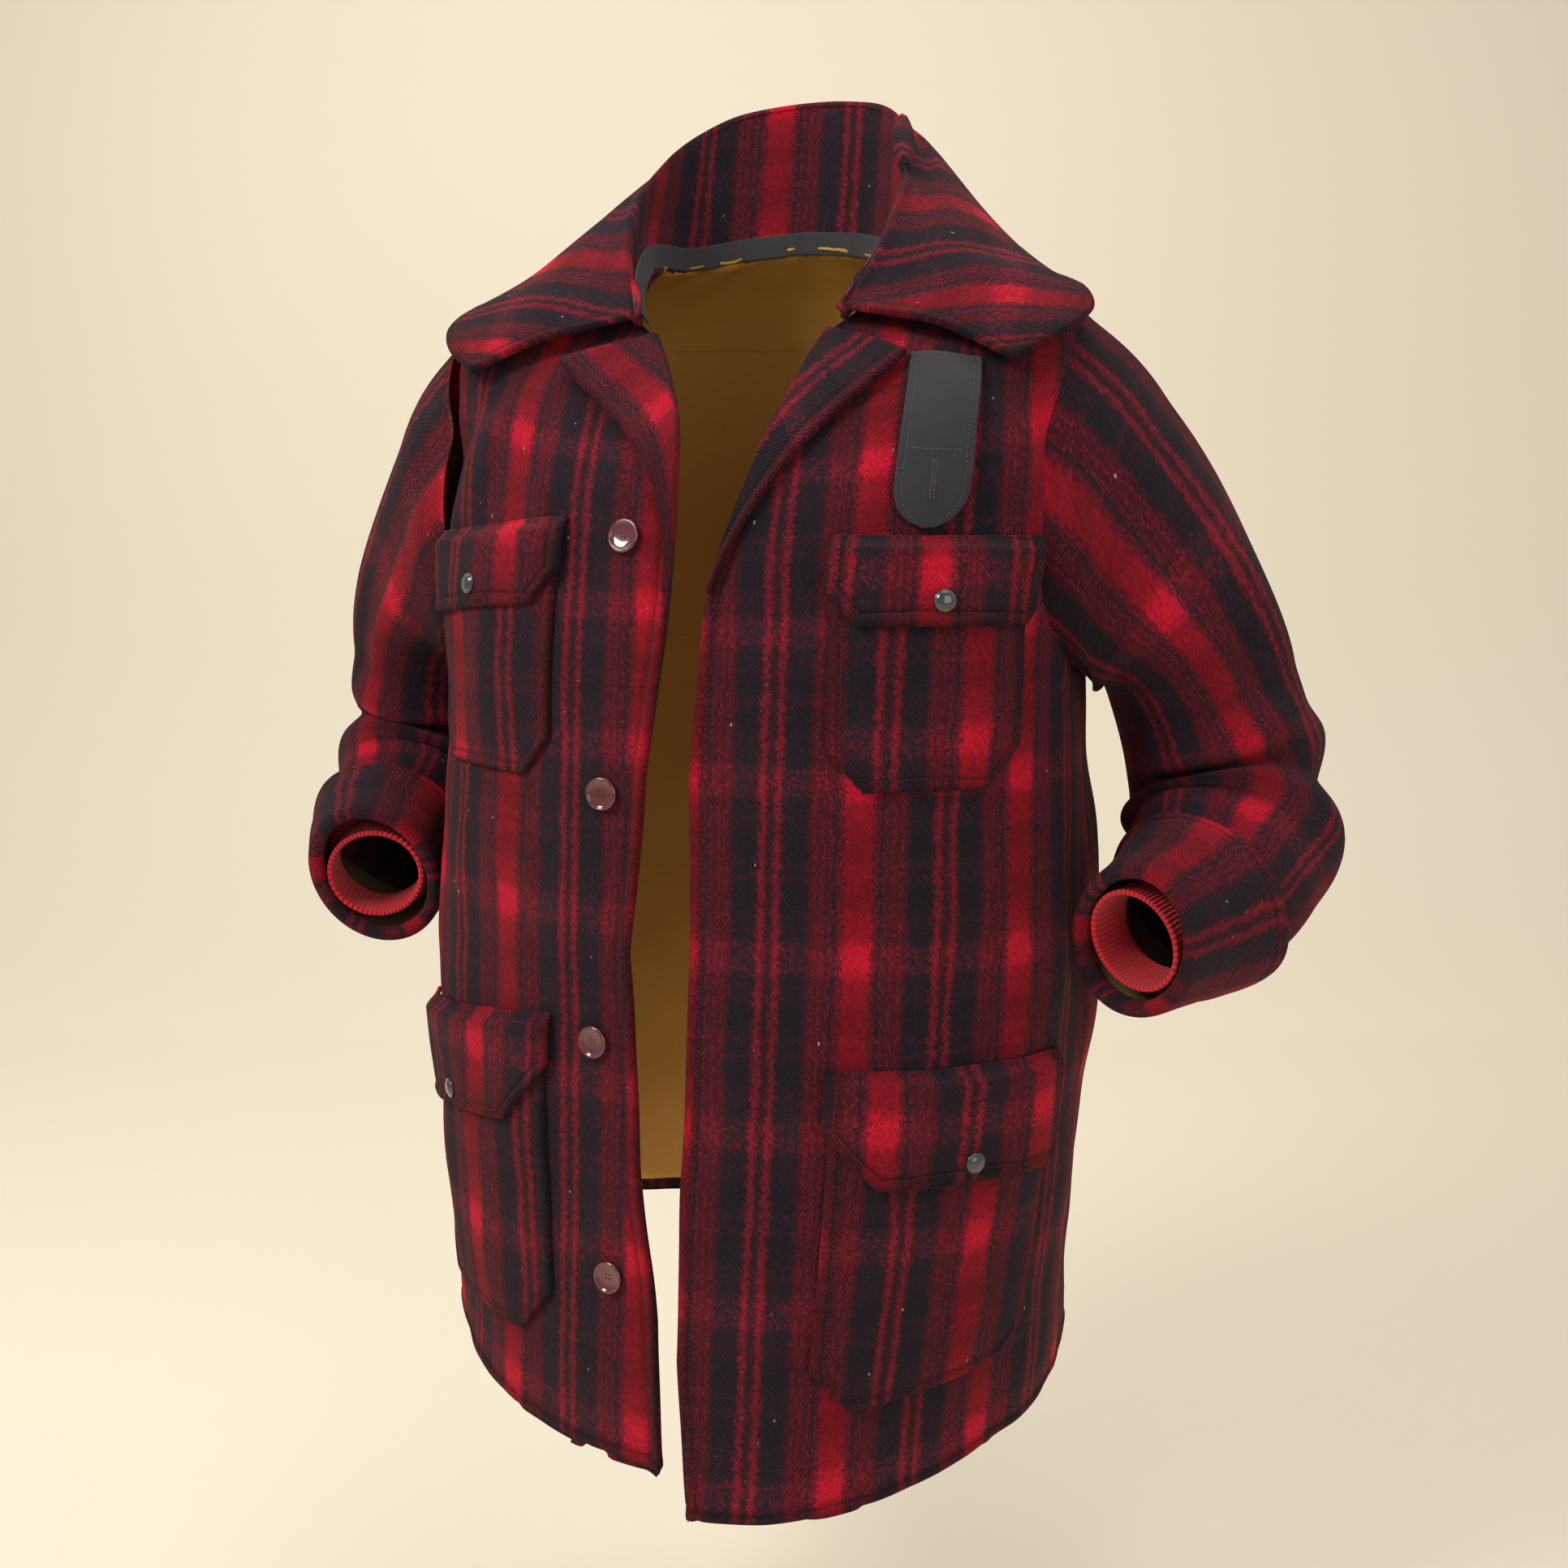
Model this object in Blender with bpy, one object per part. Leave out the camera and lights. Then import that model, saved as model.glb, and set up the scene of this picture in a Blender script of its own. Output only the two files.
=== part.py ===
"""Wool mackinaw jacket in the pose of a wearer with both hands in the side pockets.

Metres, +Z up. The wearer faces -Y and the wearer's left is +X. The origin is midway
between the shoulders, where the wearer's shoulders carry the jacket.

The body is one smooth form, read from a short table of sections, and every panel is a
piece of that form: turn runs round it in radians from the centre front towards the
wearer's left, and level counts the rows of the table from the hem up to the neck.
"""
import math

import bpy
import numpy as np

# Cloth and gaps
WOOL = 0.0030
DOUBLE_WOOL = 0.0050
LINING = 0.0012
FACING = 0.0026
SEAM = 0.0004
LAY = 0.0005
PATCH_LAY = 0.0010

# Sections of the body, from the hem up to the neckline
SECTION_COLUMNS = ("half_width", "front_depth", "back_depth", "side_z", "front_z", "back_z", "power")
BODY_SECTIONS = (
    (0.242, 0.238, 0.186, -0.775, -0.806, -0.785, 2.20),
    (0.245, 0.228, 0.184, -0.690, -0.705, -0.697, 2.20),
    (0.251, 0.219, 0.182, -0.585, -0.592, -0.590, 2.25),
    (0.260, 0.211, 0.179, -0.480, -0.483, -0.482, 2.30),
    (0.255, 0.205, 0.174, -0.385, -0.385, -0.385, 2.35),
    (0.243, 0.199, 0.168, -0.295, -0.295, -0.293, 2.40),
    (0.240, 0.191, 0.164, -0.205, -0.213, -0.203, 2.45),
    (0.244, 0.178, 0.158, -0.110, -0.137, -0.110, 2.45),
    (0.246, 0.158, 0.149, -0.027, -0.080, -0.033, 2.40),
    (0.232, 0.138, 0.133, 0.022, -0.046, 0.020, 2.30),
    (0.186, 0.117, 0.112, 0.046, -0.020, 0.052, 2.20),
    (0.134, 0.102, 0.091, 0.059, -0.001, 0.071, 2.10),
    (0.090, 0.090, 0.074, 0.066, 0.014, 0.084, 2.00),
)

# The wearer's right side hangs fuller and its hem higher; the throat is drawn to the left
RIGHT_FULL = 0.05
RIGHT_HEM_LIFT = 0.020
THROAT_PULL = 0.008
PULL_LOW_Z = -0.20
PULL_HIGH_Z = -0.04
PULL_DEPTH = 0.10

# The wearer's left front swings forward towards its hem corner
LEFT_SWING = 0.024
SWING_TOP_Z = -0.36
SWING_TURN = 1.1

# Front edges: distance of each edge from the centre line, by height
EDGE_COLUMNS = ("z", "left_front", "right_front")
FRONT_EDGES = (
    (-0.80, 0.023, 0.007),
    (-0.70, 0.012, 0.013),
    (-0.58, 0.009, 0.029),
    (-0.42, 0.009, 0.039),
    (-0.30, 0.006, 0.028),
    (-0.20, 0.012, 0.016),
    (-0.10, 0.018, 0.008),
)

# Armhole, an oval round the side of the body form
UNDERARM_Z = -0.232
SHOULDER_TIP_Z = 0.018
ARMHOLE_FRONT = math.radians(30)
ARMHOLE_BACK = math.radians(26)

# Neckline and lapels
BREAK_Z = -0.160
GORGE_LEVEL = 10.75
GORGE_X = 0.066
NECK_FRONT_TURN = math.radians(70)
FOLD_CURVE_LEFT = 0.8
FOLD_CURVE_RIGHT = 1.6
LAPEL_TIP_X = 0.126
LAPEL_TIP_LEVEL = 9.3
LAPEL_CURVE = 2.4
LAPEL_TIP_LIFT = 0.004
FACING_WIDTH = 0.062

# Broad folds of the body cloth: where, how far in or out, and how long
BODY_FOLD_COLUMNS = ("turn_deg", "z", "out", "half_turn_deg", "half_length", "lean")
BODY_FOLDS = (
    (64.0, -0.080, -0.0050, 7.0, 0.075, -20.0),
    (50.0, -0.085, 0.0035, 7.0, 0.070, -14.0),
    (-62.0, -0.090, -0.0060, 7.0, 0.080, 20.0),
    (-47.0, -0.100, 0.0040, 7.0, 0.075, 12.0),
    (82.0, -0.420, -0.0060, 9.0, 0.100, 8.0),
    (-80.0, -0.430, -0.0070, 9.0, 0.110, -8.0),
    (66.0, -0.640, 0.0050, 12.0, 0.170, 0.0),
    (96.0, -0.650, -0.0060, 12.0, 0.170, 0.0),
    (-70.0, -0.640, 0.0050, 12.0, 0.170, 0.0),
    (-98.0, -0.640, -0.0060, 12.0, 0.170, 0.0),
    (128.0, -0.600, 0.0060, 13.0, 0.220, 4.0),
    (158.0, -0.620, -0.0050, 12.0, 0.200, 3.0),
    (186.0, -0.600, 0.0050, 14.0, 0.230, -3.0),
    (214.0, -0.620, -0.0050, 12.0, 0.200, -4.0),
    (240.0, -0.590, 0.0060, 12.0, 0.210, -5.0),
    (124.0, -0.180, -0.0045, 9.0, 0.110, 14.0),
    (236.0, -0.180, -0.0045, 9.0, 0.110, -14.0),
    (150.0, -0.300, 0.0035, 13.0, 0.120, 8.0),
    (210.0, -0.300, 0.0035, 13.0, 0.120, -8.0),
)

# Sleeves: sections after the armhole, elbow to the side and forearm coming forward
SLEEVE_COLUMNS = ("x", "y", "z", "half_out", "half_across")
LEFT_SLEEVE = (
    (0.240, 0.004, -0.106, 0.114, 0.092),
    (0.272, 0.012, -0.138, 0.096, 0.086),
    (0.305, 0.026, -0.192, 0.074, 0.080),
    (0.325, 0.040, -0.254, 0.065, 0.078),
    (0.342, 0.043, -0.312, 0.072, 0.076),
    (0.349, 0.018, -0.359, 0.076, 0.070),
    (0.338, -0.028, -0.388, 0.065, 0.063),
    (0.317, -0.070, -0.401, 0.050, 0.060),
    (0.294, -0.108, -0.409, 0.045, 0.058),
)
RIGHT_SLEEVE = (
    (0.240, 0.006, -0.106, 0.114, 0.092),
    (0.274, 0.018, -0.140, 0.092, 0.086),
    (0.300, 0.036, -0.192, 0.068, 0.079),
    (0.313, 0.052, -0.252, 0.059, 0.076),
    (0.321, 0.060, -0.308, 0.065, 0.074),
    (0.329, 0.034, -0.357, 0.068, 0.069),
    (0.322, -0.014, -0.387, 0.058, 0.062),
    (0.309, -0.060, -0.401, 0.048, 0.058),
    (0.293, -0.101, -0.409, 0.044, 0.056),
)
SLEEVES = {1: LEFT_SLEEVE, -1: RIGHT_SLEEVE}
SLEEVE_BLEND = 0.34

# Sleeve folds: place along and round the sleeve, depth and size
SLEEVE_FOLD_COLUMNS = ("along", "round_deg", "out", "half_along", "half_round_deg", "lean")
SLEEVE_FOLDS = (
    (0.50, 120.0, -0.0120, 0.040, 60.0, 0.05),
    (0.57, 150.0, 0.0090, 0.035, 60.0, 0.05),
    (0.42, 100.0, 0.0080, 0.035, 55.0, 0.04),
    (0.55, 20.0, -0.0100, 0.035, 60.0, -0.04),
    (0.62, 10.0, 0.0080, 0.035, 60.0, -0.04),
    (0.47, 10.0, 0.0070, 0.035, 55.0, -0.04),
    (0.30, 75.0, -0.0060, 0.120, 16.0, 0.00),
    (0.28, 42.0, 0.0060, 0.130, 18.0, 0.00),
    (0.26, 290.0, -0.0060, 0.120, 18.0, 0.00),
    (0.30, 250.0, 0.0050, 0.120, 20.0, 0.00),
    (0.66, 240.0, -0.0080, 0.040, 55.0, 0.03),
    (0.12, 200.0, -0.0070, 0.060, 45.0, 0.00),
)

# Turned-back cuff, lining and knitted storm cuff
CUFF_DEPTH = 0.092
CUFF_FLARE = 0.007
CUFF_INSIDE = 0.018
SLEEVE_END_BACK = 0.006
STORM_CUFF_RADIUS = 0.036
STORM_CUFF_WALL = 0.0030
STORM_RIBS = 18
STORM_RIB_RISE = 0.0012

# Collar: seam on the neck, roll at its crown and outer edge, from centre back to front
COLLAR_COLUMNS = (
    "seam_x", "seam_y", "seam_z", "roll_x", "roll_y", "roll_z", "edge_x", "edge_y", "edge_z",
)
COLLAR_SECTIONS = (
    (0.000, 0.074, 0.0848, 0.000, 0.102, 0.203, 0.000, 0.136, 0.156),
    (0.045, 0.064, 0.0800, 0.054, 0.086, 0.195, 0.076, 0.124, 0.141),
    (0.079, 0.036, 0.0708, 0.088, 0.046, 0.167, 0.132, 0.092, 0.108),
    (0.091, 0.000, 0.0690, 0.099, 0.000, 0.131, 0.184, 0.044, 0.068),
    (0.088, -0.040, 0.0590, 0.099, -0.044, 0.095, 0.221, -0.008, 0.039),
    (0.084, -0.074, 0.037, 0.090, -0.080, 0.058, 0.234, -0.052, 0.012),
    (0.073, -0.098, 0.013, 0.077, -0.105, 0.020, 0.203, -0.102, -0.025),
)
COLLAR_ROLL = 0.009
COLLAR_BULGE = 0.007
COLLAR_CLEAR = 0.0105
COLLAR_OVER_LAPEL = 0.0065
COLLAR_SEAM_LIFT = 0.0012
BINDING_WIDTH = 0.014
BINDING_THICK = 0.0012

# Pockets and flaps: distances from the centre line along the cloth, and heights
POCKET_COLUMNS = ("name", "side", "inner", "outer", "top_in", "top_out", "bottom_in", "bottom_out",
                  "corner_in", "corner_out", "puff")
POCKETS = (
    ("chest_pocket_left", 1, 0.100, 0.238, -0.150, -0.150, -0.302, -0.300, 0.028, 0.028, 0.004),
    ("chest_pocket_right", -1, 0.104, 0.245, -0.138, -0.152, -0.302, -0.300, 0.028, 0.028, 0.004),
    ("hip_pocket_left", 1, 0.112, 0.284, -0.506, -0.510, -0.730, -0.712, 0.034, 0.022, 0.007),
    ("hip_pocket_right", -1, 0.108, 0.286, -0.488, -0.514, -0.714, -0.722, 0.034, 0.022, 0.007),
)
FLAP_COLUMNS = ("name", "side", "inner", "outer", "top_in", "top_out", "depth", "corner_in",
                "corner_out", "puff")
FLAPS = (
    ("chest_flap_left", 1, 0.095, 0.243, -0.134, -0.134, 0.058, 0.024, 0.010, 0.004),
    ("chest_flap_right", -1, 0.099, 0.250, -0.122, -0.136, 0.058, 0.024, 0.010, 0.004),
    ("hip_flap_left", 1, 0.107, 0.289, -0.490, -0.494, 0.078, 0.040, 0.010, 0.007),
    ("hip_flap_right", -1, 0.103, 0.291, -0.472, -0.498, 0.078, 0.040, 0.010, 0.007),
)
FLAP_SEWN = 0.010
SNAP_RADIUS = 0.0075
SNAP_RISE = 0.0034
SNAP_UP = 0.016

# Throat tab hanging from under the left side of the collar
TAB_INNER = 0.132
TAB_WIDTH = 0.050
TAB_BOTTOM_Z = -0.128
TAB_TOP_Z = -0.042
TAB_THICK = 0.0024

# Buttons on the right front: height, distance from the centre line, and lift that seats each
BUTTON_RADIUS = 0.0118
BUTTON_THICK = 0.0042
BUTTONS = ((-0.136, 0.050, -0.0021), (-0.310, 0.058, -0.0013), (-0.487, 0.064, -0.0011),
           (-0.672, 0.050, -0.0003))

# Grid sizes of the solids: rows below, beside and above the armhole, then columns
PANEL_ROWS = (9, 8, 4)
FRONT_COLUMNS = 10
FACING_COLUMNS = 3
BACK_COLUMNS = 16
SLEEVE_ROUND = 20
SLEEVE_ALONG = 16

DIFFERENCE = 1e-4


def through(rows, at):
    """Smooth curve through the rows of a table, read at fractional row numbers (Catmull-Rom)."""
    rows = np.asarray(rows, float)
    last = len(rows) - 1
    at = np.clip(np.asarray(at, float), 0, last)
    low = np.minimum(at.astype(int), last - 1)
    t = (at - low)[..., None]
    before = rows[np.maximum(low - 1, 0)]
    start = rows[low]
    end = rows[low + 1]
    after = rows[np.minimum(low + 2, last)]
    return 0.5 * (
        2 * start
        + (end - before) * t
        + (2 * before - 5 * start + 4 * end - after) * t ** 2
        + (3 * start - before - 3 * end + after) * t ** 3
    )


def ease(value):
    """Smooth step from 0 to 1."""
    value = np.clip(value, 0.0, 1.0)
    return value * value * (3 - 2 * value)


def unit(vectors):
    """Vectors scaled to length one."""
    length = np.linalg.norm(vectors, axis=-1, keepdims=True)
    return vectors / np.maximum(length, 1e-12)


def body_form(turn, level):
    """Point of the body form: a superellipse at each level, whose height differs at the front,
    side and back, drawn to the wearer's left at the throat and forward at the left hem."""
    turn, level = np.broadcast_arrays(np.asarray(turn, float), np.asarray(level, float))
    columns = np.moveaxis(through(BODY_SECTIONS, level), -1, 0)
    half_width, front_depth, back_depth, side_z, front_z, back_z, power = columns
    side = np.sin(turn)
    ahead = np.cos(turn)
    root = 2 / power
    x = half_width * np.sign(side) * np.abs(side) ** root
    y = -np.where(ahead > 0, front_depth, back_depth) * np.sign(ahead) * np.abs(ahead) ** root
    z = side_z + (front_z - side_z) * np.maximum(ahead, 0) ** 2
    z = z + (back_z - side_z) * np.maximum(-ahead, 0) ** 2
    pull = ease((z - PULL_LOW_Z) / (PULL_HIGH_Z - PULL_LOW_Z)) * ease(-y / PULL_DEPTH)
    x = x + THROAT_PULL * pull + RIGHT_FULL * x * ease(-x / 0.2)
    right = ease(0.5 - side * np.where(ahead > 0, 8.0, 0.6))
    z = z + RIGHT_HEM_LIFT * right * ease((-0.50 - z) / 0.25)
    near_left = ease(1 - np.abs(np.arctan2(side, ahead) - 0.15) / SWING_TURN)
    near_left = near_left * ease((side + 0.02) / 0.04)
    y = y - LEFT_SWING * ease((SWING_TOP_Z - z) / 0.44) * near_left
    return np.stack([x, y, z], -1)


def body_folds(turn, z):
    """Outward distance of the broad folds: a sum of soft ridges and troughs."""
    out = np.zeros(np.broadcast(turn, z).shape)
    for place, height, rise, half_turn, half_length, lean in BODY_FOLDS:
        along = (z - height) / half_length
        away = np.degrees(turn) - place - lean * along
        away = (away + 180) % 360 - 180
        out = out + rise * np.exp(-(away / half_turn) ** 2 - along ** 2)
    return out


def body_surface(turn, level, out=0.0):
    """Point and outward direction of the folded cloth, moved out along that direction."""
    turn, level = np.broadcast_arrays(np.asarray(turn, float), np.asarray(level, float))

    def folded(turn, level):
        point = body_form(turn, level)
        round_way = body_form(turn + DIFFERENCE, level) - body_form(turn - DIFFERENCE, level)
        up_way = body_form(turn, level + DIFFERENCE) - body_form(turn, level - DIFFERENCE)
        direction = unit(np.cross(round_way, up_way))
        return point + direction * body_folds(turn, point[..., 2])[..., None]

    step = 20 * DIFFERENCE
    round_way = folded(turn + step, level) - folded(turn - step, level)
    up_way = folded(turn, level + step) - folded(turn, level - step)
    direction = unit(np.cross(round_way, up_way))
    return folded(turn, level) + direction * np.asarray(out)[..., None], direction


def level_at_side(z):
    """Level whose side point lies at this height."""
    levels = np.linspace(0, len(BODY_SECTIONS) - 1, 2401)
    return np.interp(z, body_form(math.pi / 2, levels)[:, 2], levels)


TOP_LEVEL = len(BODY_SECTIONS) - 1.0
UNDERARM_LEVEL = level_at_side(UNDERARM_Z)
TIP_LEVEL = level_at_side(SHOULDER_TIP_Z)
BREAK_LEVEL = level_at_side(BREAK_Z)


def turn_at(share, power):
    """Turn at which a superellipse reaches this share of its half width."""
    return np.sign(share) * np.arcsin(np.abs(share) ** (power / 2))


def edge_x(side, level):
    """Distance of the front edge from the centre line at each level."""
    table = np.array(FRONT_EDGES)
    heights = through(BODY_SECTIONS, level)[..., 4]
    return np.interp(heights, table[:, 0], table[:, 1 if side > 0 else 2])


def fold_x(side, level):
    """Distance of the front edge below the break, and of the lapel's fold above it."""
    climb = np.clip((level - BREAK_LEVEL) / (GORGE_LEVEL - BREAK_LEVEL), 0, 1)
    edge = edge_x(side, np.minimum(level, BREAK_LEVEL))
    return edge + (GORGE_X - edge) * climb ** (FOLD_CURVE_LEFT if side > 0 else FOLD_CURVE_RIGHT)


def turn_of_x(level, x):
    """Turn of the point at this distance from the centre line on the front of a level."""
    columns = through(BODY_SECTIONS, level)
    return turn_at(x / columns[..., 0], columns[..., 6])


def front_limit(side, level):
    """Where a front begins at each level: its edge, then the lapel fold, then the neckline."""
    level = np.asarray(level, float)
    neck = np.clip((level - GORGE_LEVEL) / (TOP_LEVEL - GORGE_LEVEL), 0, 1)
    below = np.minimum(level, GORGE_LEVEL)
    limit = turn_of_x(below, fold_x(side, below))
    return limit + (NECK_FRONT_TURN - limit) * neck ** 0.8


def armhole_width(level, widest):
    """Half opening of the armhole in turn, as an oval between underarm and shoulder tip."""
    middle = (UNDERARM_LEVEL + TIP_LEVEL) / 2
    half = (TIP_LEVEL - UNDERARM_LEVEL) / 2
    inside = np.clip(1 - ((np.asarray(level) - middle) / half) ** 2, 0, 1)
    return widest * np.sqrt(inside)


def panel_levels(below, beside, above):
    """Levels of a panel's rows, closer together at both ends of the armhole."""
    wave = (1 - np.cos(np.linspace(0, math.pi, beside + 1))) / 2
    low = np.linspace(0, UNDERARM_LEVEL, below + 1)
    middle = UNDERARM_LEVEL + (TIP_LEVEL - UNDERARM_LEVEL) * wave
    high = np.linspace(TIP_LEVEL, TOP_LEVEL, above + 1)
    return np.concatenate([low, middle[1:], high[1:]])


def stretch(low, high, fractions):
    """Grid whose rows run from low to high in the given fractions."""
    return low[:, None] + (high - low)[:, None] * np.asarray(fractions)[None, :]


def flipped(points, side):
    """A grid computed on the wearer's left, or its mirror image on the right."""
    return points * np.array([side, 1.0, 1.0])


MATERIALS = {
    "wool": ((0.30, 0.02, 0.03), 0.95, 0.0),
    "wool_dark": ((0.10, 0.015, 0.02), 0.95, 0.0),
    "lining": ((0.55, 0.30, 0.05), 0.45, 0.0),
    "sleeve_lining": ((0.16, 0.12, 0.05), 0.6, 0.0),
    "knit": ((0.62, 0.01, 0.02), 0.85, 0.0),
    "tape": ((0.02, 0.02, 0.022), 0.8, 0.0),
    "button": ((0.18, 0.01, 0.02), 0.18, 0.0),
    "snap": ((0.10, 0.10, 0.11), 0.3, 0.9),
}


def material(name):
    """Principled material of this name, made once."""
    found = bpy.data.materials.get(name)
    if found:
        return found
    colour, roughness, metallic = MATERIALS[name]
    made = bpy.data.materials.new(name)
    made.use_nodes = True
    shader = made.node_tree.nodes["Principled BSDF"]
    shader.inputs["Base Color"].default_value = (*colour, 1.0)
    shader.inputs["Roughness"].default_value = roughness
    shader.inputs["Metallic"].default_value = metallic
    return made


def add_solid(name, points, faces, finish):
    """Object of this name with its faces turned outwards."""
    points = np.asarray(points, float)
    volume = 0.0
    for face in faces:
        first = points[face[0]]
        for second, third in zip(face[1:-1], face[2:]):
            volume += np.dot(first, np.cross(points[second], points[third]))
    if volume < 0:
        faces = [tuple(reversed(face)) for face in faces]
    mesh = bpy.data.meshes.new(name)
    mesh.from_pydata(points.tolist(), [], faces)
    mesh.shade_smooth()
    mesh.set_sharp_from_angle(angle=math.radians(50))
    mesh.materials.append(material(finish))
    made = bpy.data.objects.new(name, mesh)
    bpy.context.scene.collection.objects.link(made)
    return made


def add_wall(name, outer, inner, finish, wrap=False):
    """Closed wall between two grids of points; wrap joins each row's end to its start."""
    rows, columns = outer.shape[:2]
    points = np.concatenate([outer.reshape(-1, 3), inner.reshape(-1, 3)])
    shift = rows * columns
    across = columns if wrap else columns - 1
    faces = []
    for row in range(rows - 1):
        for column in range(across):
            a = row * columns + column
            b = row * columns + (column + 1) % columns
            c, d = b + columns, a + columns
            faces.append((a, b, c, d))
            faces.append((a + shift, d + shift, c + shift, b + shift))
    for column in range(across):
        a, b = column, (column + 1) % columns
        faces.append((a, a + shift, b + shift, b))
        c, d = a + (rows - 1) * columns, b + (rows - 1) * columns
        faces.append((c, d, d + shift, c + shift))
    if not wrap:
        for row in range(rows - 1):
            a, b = row * columns, (row + 1) * columns
            faces.append((a, b, b + shift, a + shift))
            c, d = a + columns - 1, b + columns - 1
            faces.append((c, c + shift, d + shift, d))
    return add_solid(name, points, faces, finish)


def add_ring(name, loops, finish):
    """Closed solid from loops of points round a profile; both directions join up."""
    count, around = loops.shape[:2]
    faces = []
    for row in range(count):
        for column in range(around):
            a = row * around + column
            b = row * around + (column + 1) % around
            below = (row + 1) % count * around
            faces.append((a, b, below + (column + 1) % around, below + column))
    return add_solid(name, loops.reshape(-1, 3), faces, finish)


def add_back():
    """Back and its lining: panels from side seam to side seam, open at armholes and neck."""
    levels = panel_levels(*PANEL_ROWS)
    left = math.pi / 2 + armhole_width(levels, ARMHOLE_BACK)
    turn = stretch(left, 2 * math.pi - left, np.linspace(0, 1, BACK_COLUMNS + 1))
    outer, out_way = body_surface(turn, levels[:, None])
    add_wall("back", outer, outer - out_way * WOOL, "wool_dark")
    behind = outer - out_way * (WOOL + LAY)
    add_wall("lining_back", behind[1:], (behind - out_way * LINING)[1:], "lining")


def front_turns(side, levels, fractions, start=0.0):
    """Turns of a front's grid, from its edge to the side seam, armhole and shoulder seam."""
    half_width = through(BODY_SECTIONS, levels)[:, 0]
    low = front_limit(side, levels) + start / half_width
    high = math.pi / 2 - armhole_width(levels, ARMHOLE_FRONT) - SEAM / half_width
    return stretch(low, high, fractions)


def add_fronts():
    """Two fronts with the wool facing inside each edge and the lining beyond the facing."""
    levels = panel_levels(*PANEL_ROWS)
    share = FACING_WIDTH / (0.5 * math.pi * 0.22)
    facing = np.linspace(0, share, FACING_COLUMNS + 1)
    beyond = np.linspace(share, 1, FRONT_COLUMNS - FACING_COLUMNS + 1)
    fractions = np.concatenate([facing, beyond[1:]])
    for side, end in ((1, "left"), (-1, "right")):
        turn = side * front_turns(side, levels, fractions)
        outer, out_way = body_surface(turn, levels[:, None])
        add_wall("front_" + end, outer, outer - out_way * WOOL, "wool")
        behind = outer - out_way * (WOOL + LAY)
        strip = slice(0, FACING_COLUMNS + 1)
        back = behind - out_way * FACING
        add_wall("facing_" + end, behind[:, strip], back[:, strip], "wool_dark")
        rest = slice(FACING_COLUMNS, None)
        top = behind[1:, rest].copy()
        way = out_way[1:, rest]
        top[:, 0] += unit(top[:, 1] - top[:, 0]) * 0.001
        add_wall("lining_front_" + end, top, top - way * LINING, "lining")


def add_lapels():
    """Lapels: the top of each front with its facing, turned back over the front."""
    along = np.linspace(0.04, 1, 10)
    across = np.array([0.0, 0.12, 0.35, 0.65, 0.9, 1.0])
    for side, name in ((1, "lapel_left"), (-1, "lapel_right")):
        level = BREAK_LEVEL + (GORGE_LEVEL - 0.1 - BREAK_LEVEL) * along
        fold = fold_x(side, level)
        edge_level = BREAK_LEVEL + (LAPEL_TIP_LEVEL - BREAK_LEVEL) * along
        widen = 0.2 * along + 0.8 * along ** LAPEL_CURVE
        reach = stretch(fold, fold + (LAPEL_TIP_X - GORGE_X) * widen, across)
        levels = stretch(level, edge_level, across)
        turn = side * turn_of_x(levels, reach)
        lift = LAY + 0.0006 + LAPEL_TIP_LIFT * along[:, None] ** 2 * across[None, :] ** 1.5
        inner, out_way = body_surface(turn, levels, lift)
        add_wall(name, inner + out_way * DOUBLE_WOOL, inner, "wool")


def sleeve_axis(side, along):
    """Centre and half sizes of a sleeve at fractions of its length."""
    rows = SLEEVES[side]
    return through(rows, np.asarray(along) * (len(rows) - 1))


def sleeve_frames(side, along):
    """Directions of the sleeve: forward along it, outwards from it, and across it.

    The outward direction is turned from up-and-out at the shoulder towards the back of the
    forearm, so the same line of cloth stays on the outside of the elbow.
    """
    along = np.asarray(along, float)
    step = 0.01
    forward = sleeve_axis(side, along + step) - sleeve_axis(side, along - step)
    forward = unit(forward[..., :3])
    guide_rows = ((0.75, 0.05, 0.66), (0.80, 0.20, 0.56), (0.85, 0.45, 0.10), (0.75, 0.60, 0.0),
                  (0.70, 0.70, 0.0))
    guide = through(guide_rows, np.clip(along, 0, 1) * 4)
    outward = unit(guide - forward * np.sum(guide * forward, -1, keepdims=True))
    across = np.cross(forward, outward)
    return forward, outward, across


def armhole_point(around):
    """Point of the left armhole: around is 0 at the shoulder tip and runs to the front."""
    middle = (UNDERARM_LEVEL + TIP_LEVEL) / 2
    half = (TIP_LEVEL - UNDERARM_LEVEL) / 2
    level = middle + (half - SEAM * 30) * np.cos(around)
    wide = np.where(np.sin(around) > 0, ARMHOLE_FRONT, ARMHOLE_BACK) - 3 * SEAM / 0.2
    turn = math.pi / 2 - wide * np.sin(around)
    return body_surface(turn, level)[0]


def sleeve_fold(along, around):
    """Outward distance of the sleeve's folds."""
    out = np.zeros(np.broadcast(along, around).shape)
    for place, angle, rise, half_along, half_round, lean in SLEEVE_FOLDS:
        away = (np.degrees(around) - angle + 180) % 360 - 180
        step = along - place - lean * away / 90
        out = out + rise * np.exp(-(step / half_along) ** 2 - (away / half_round) ** 2)
    return out * ease(along / 0.12) * ease((1.0 - along) / 0.18)


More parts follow.
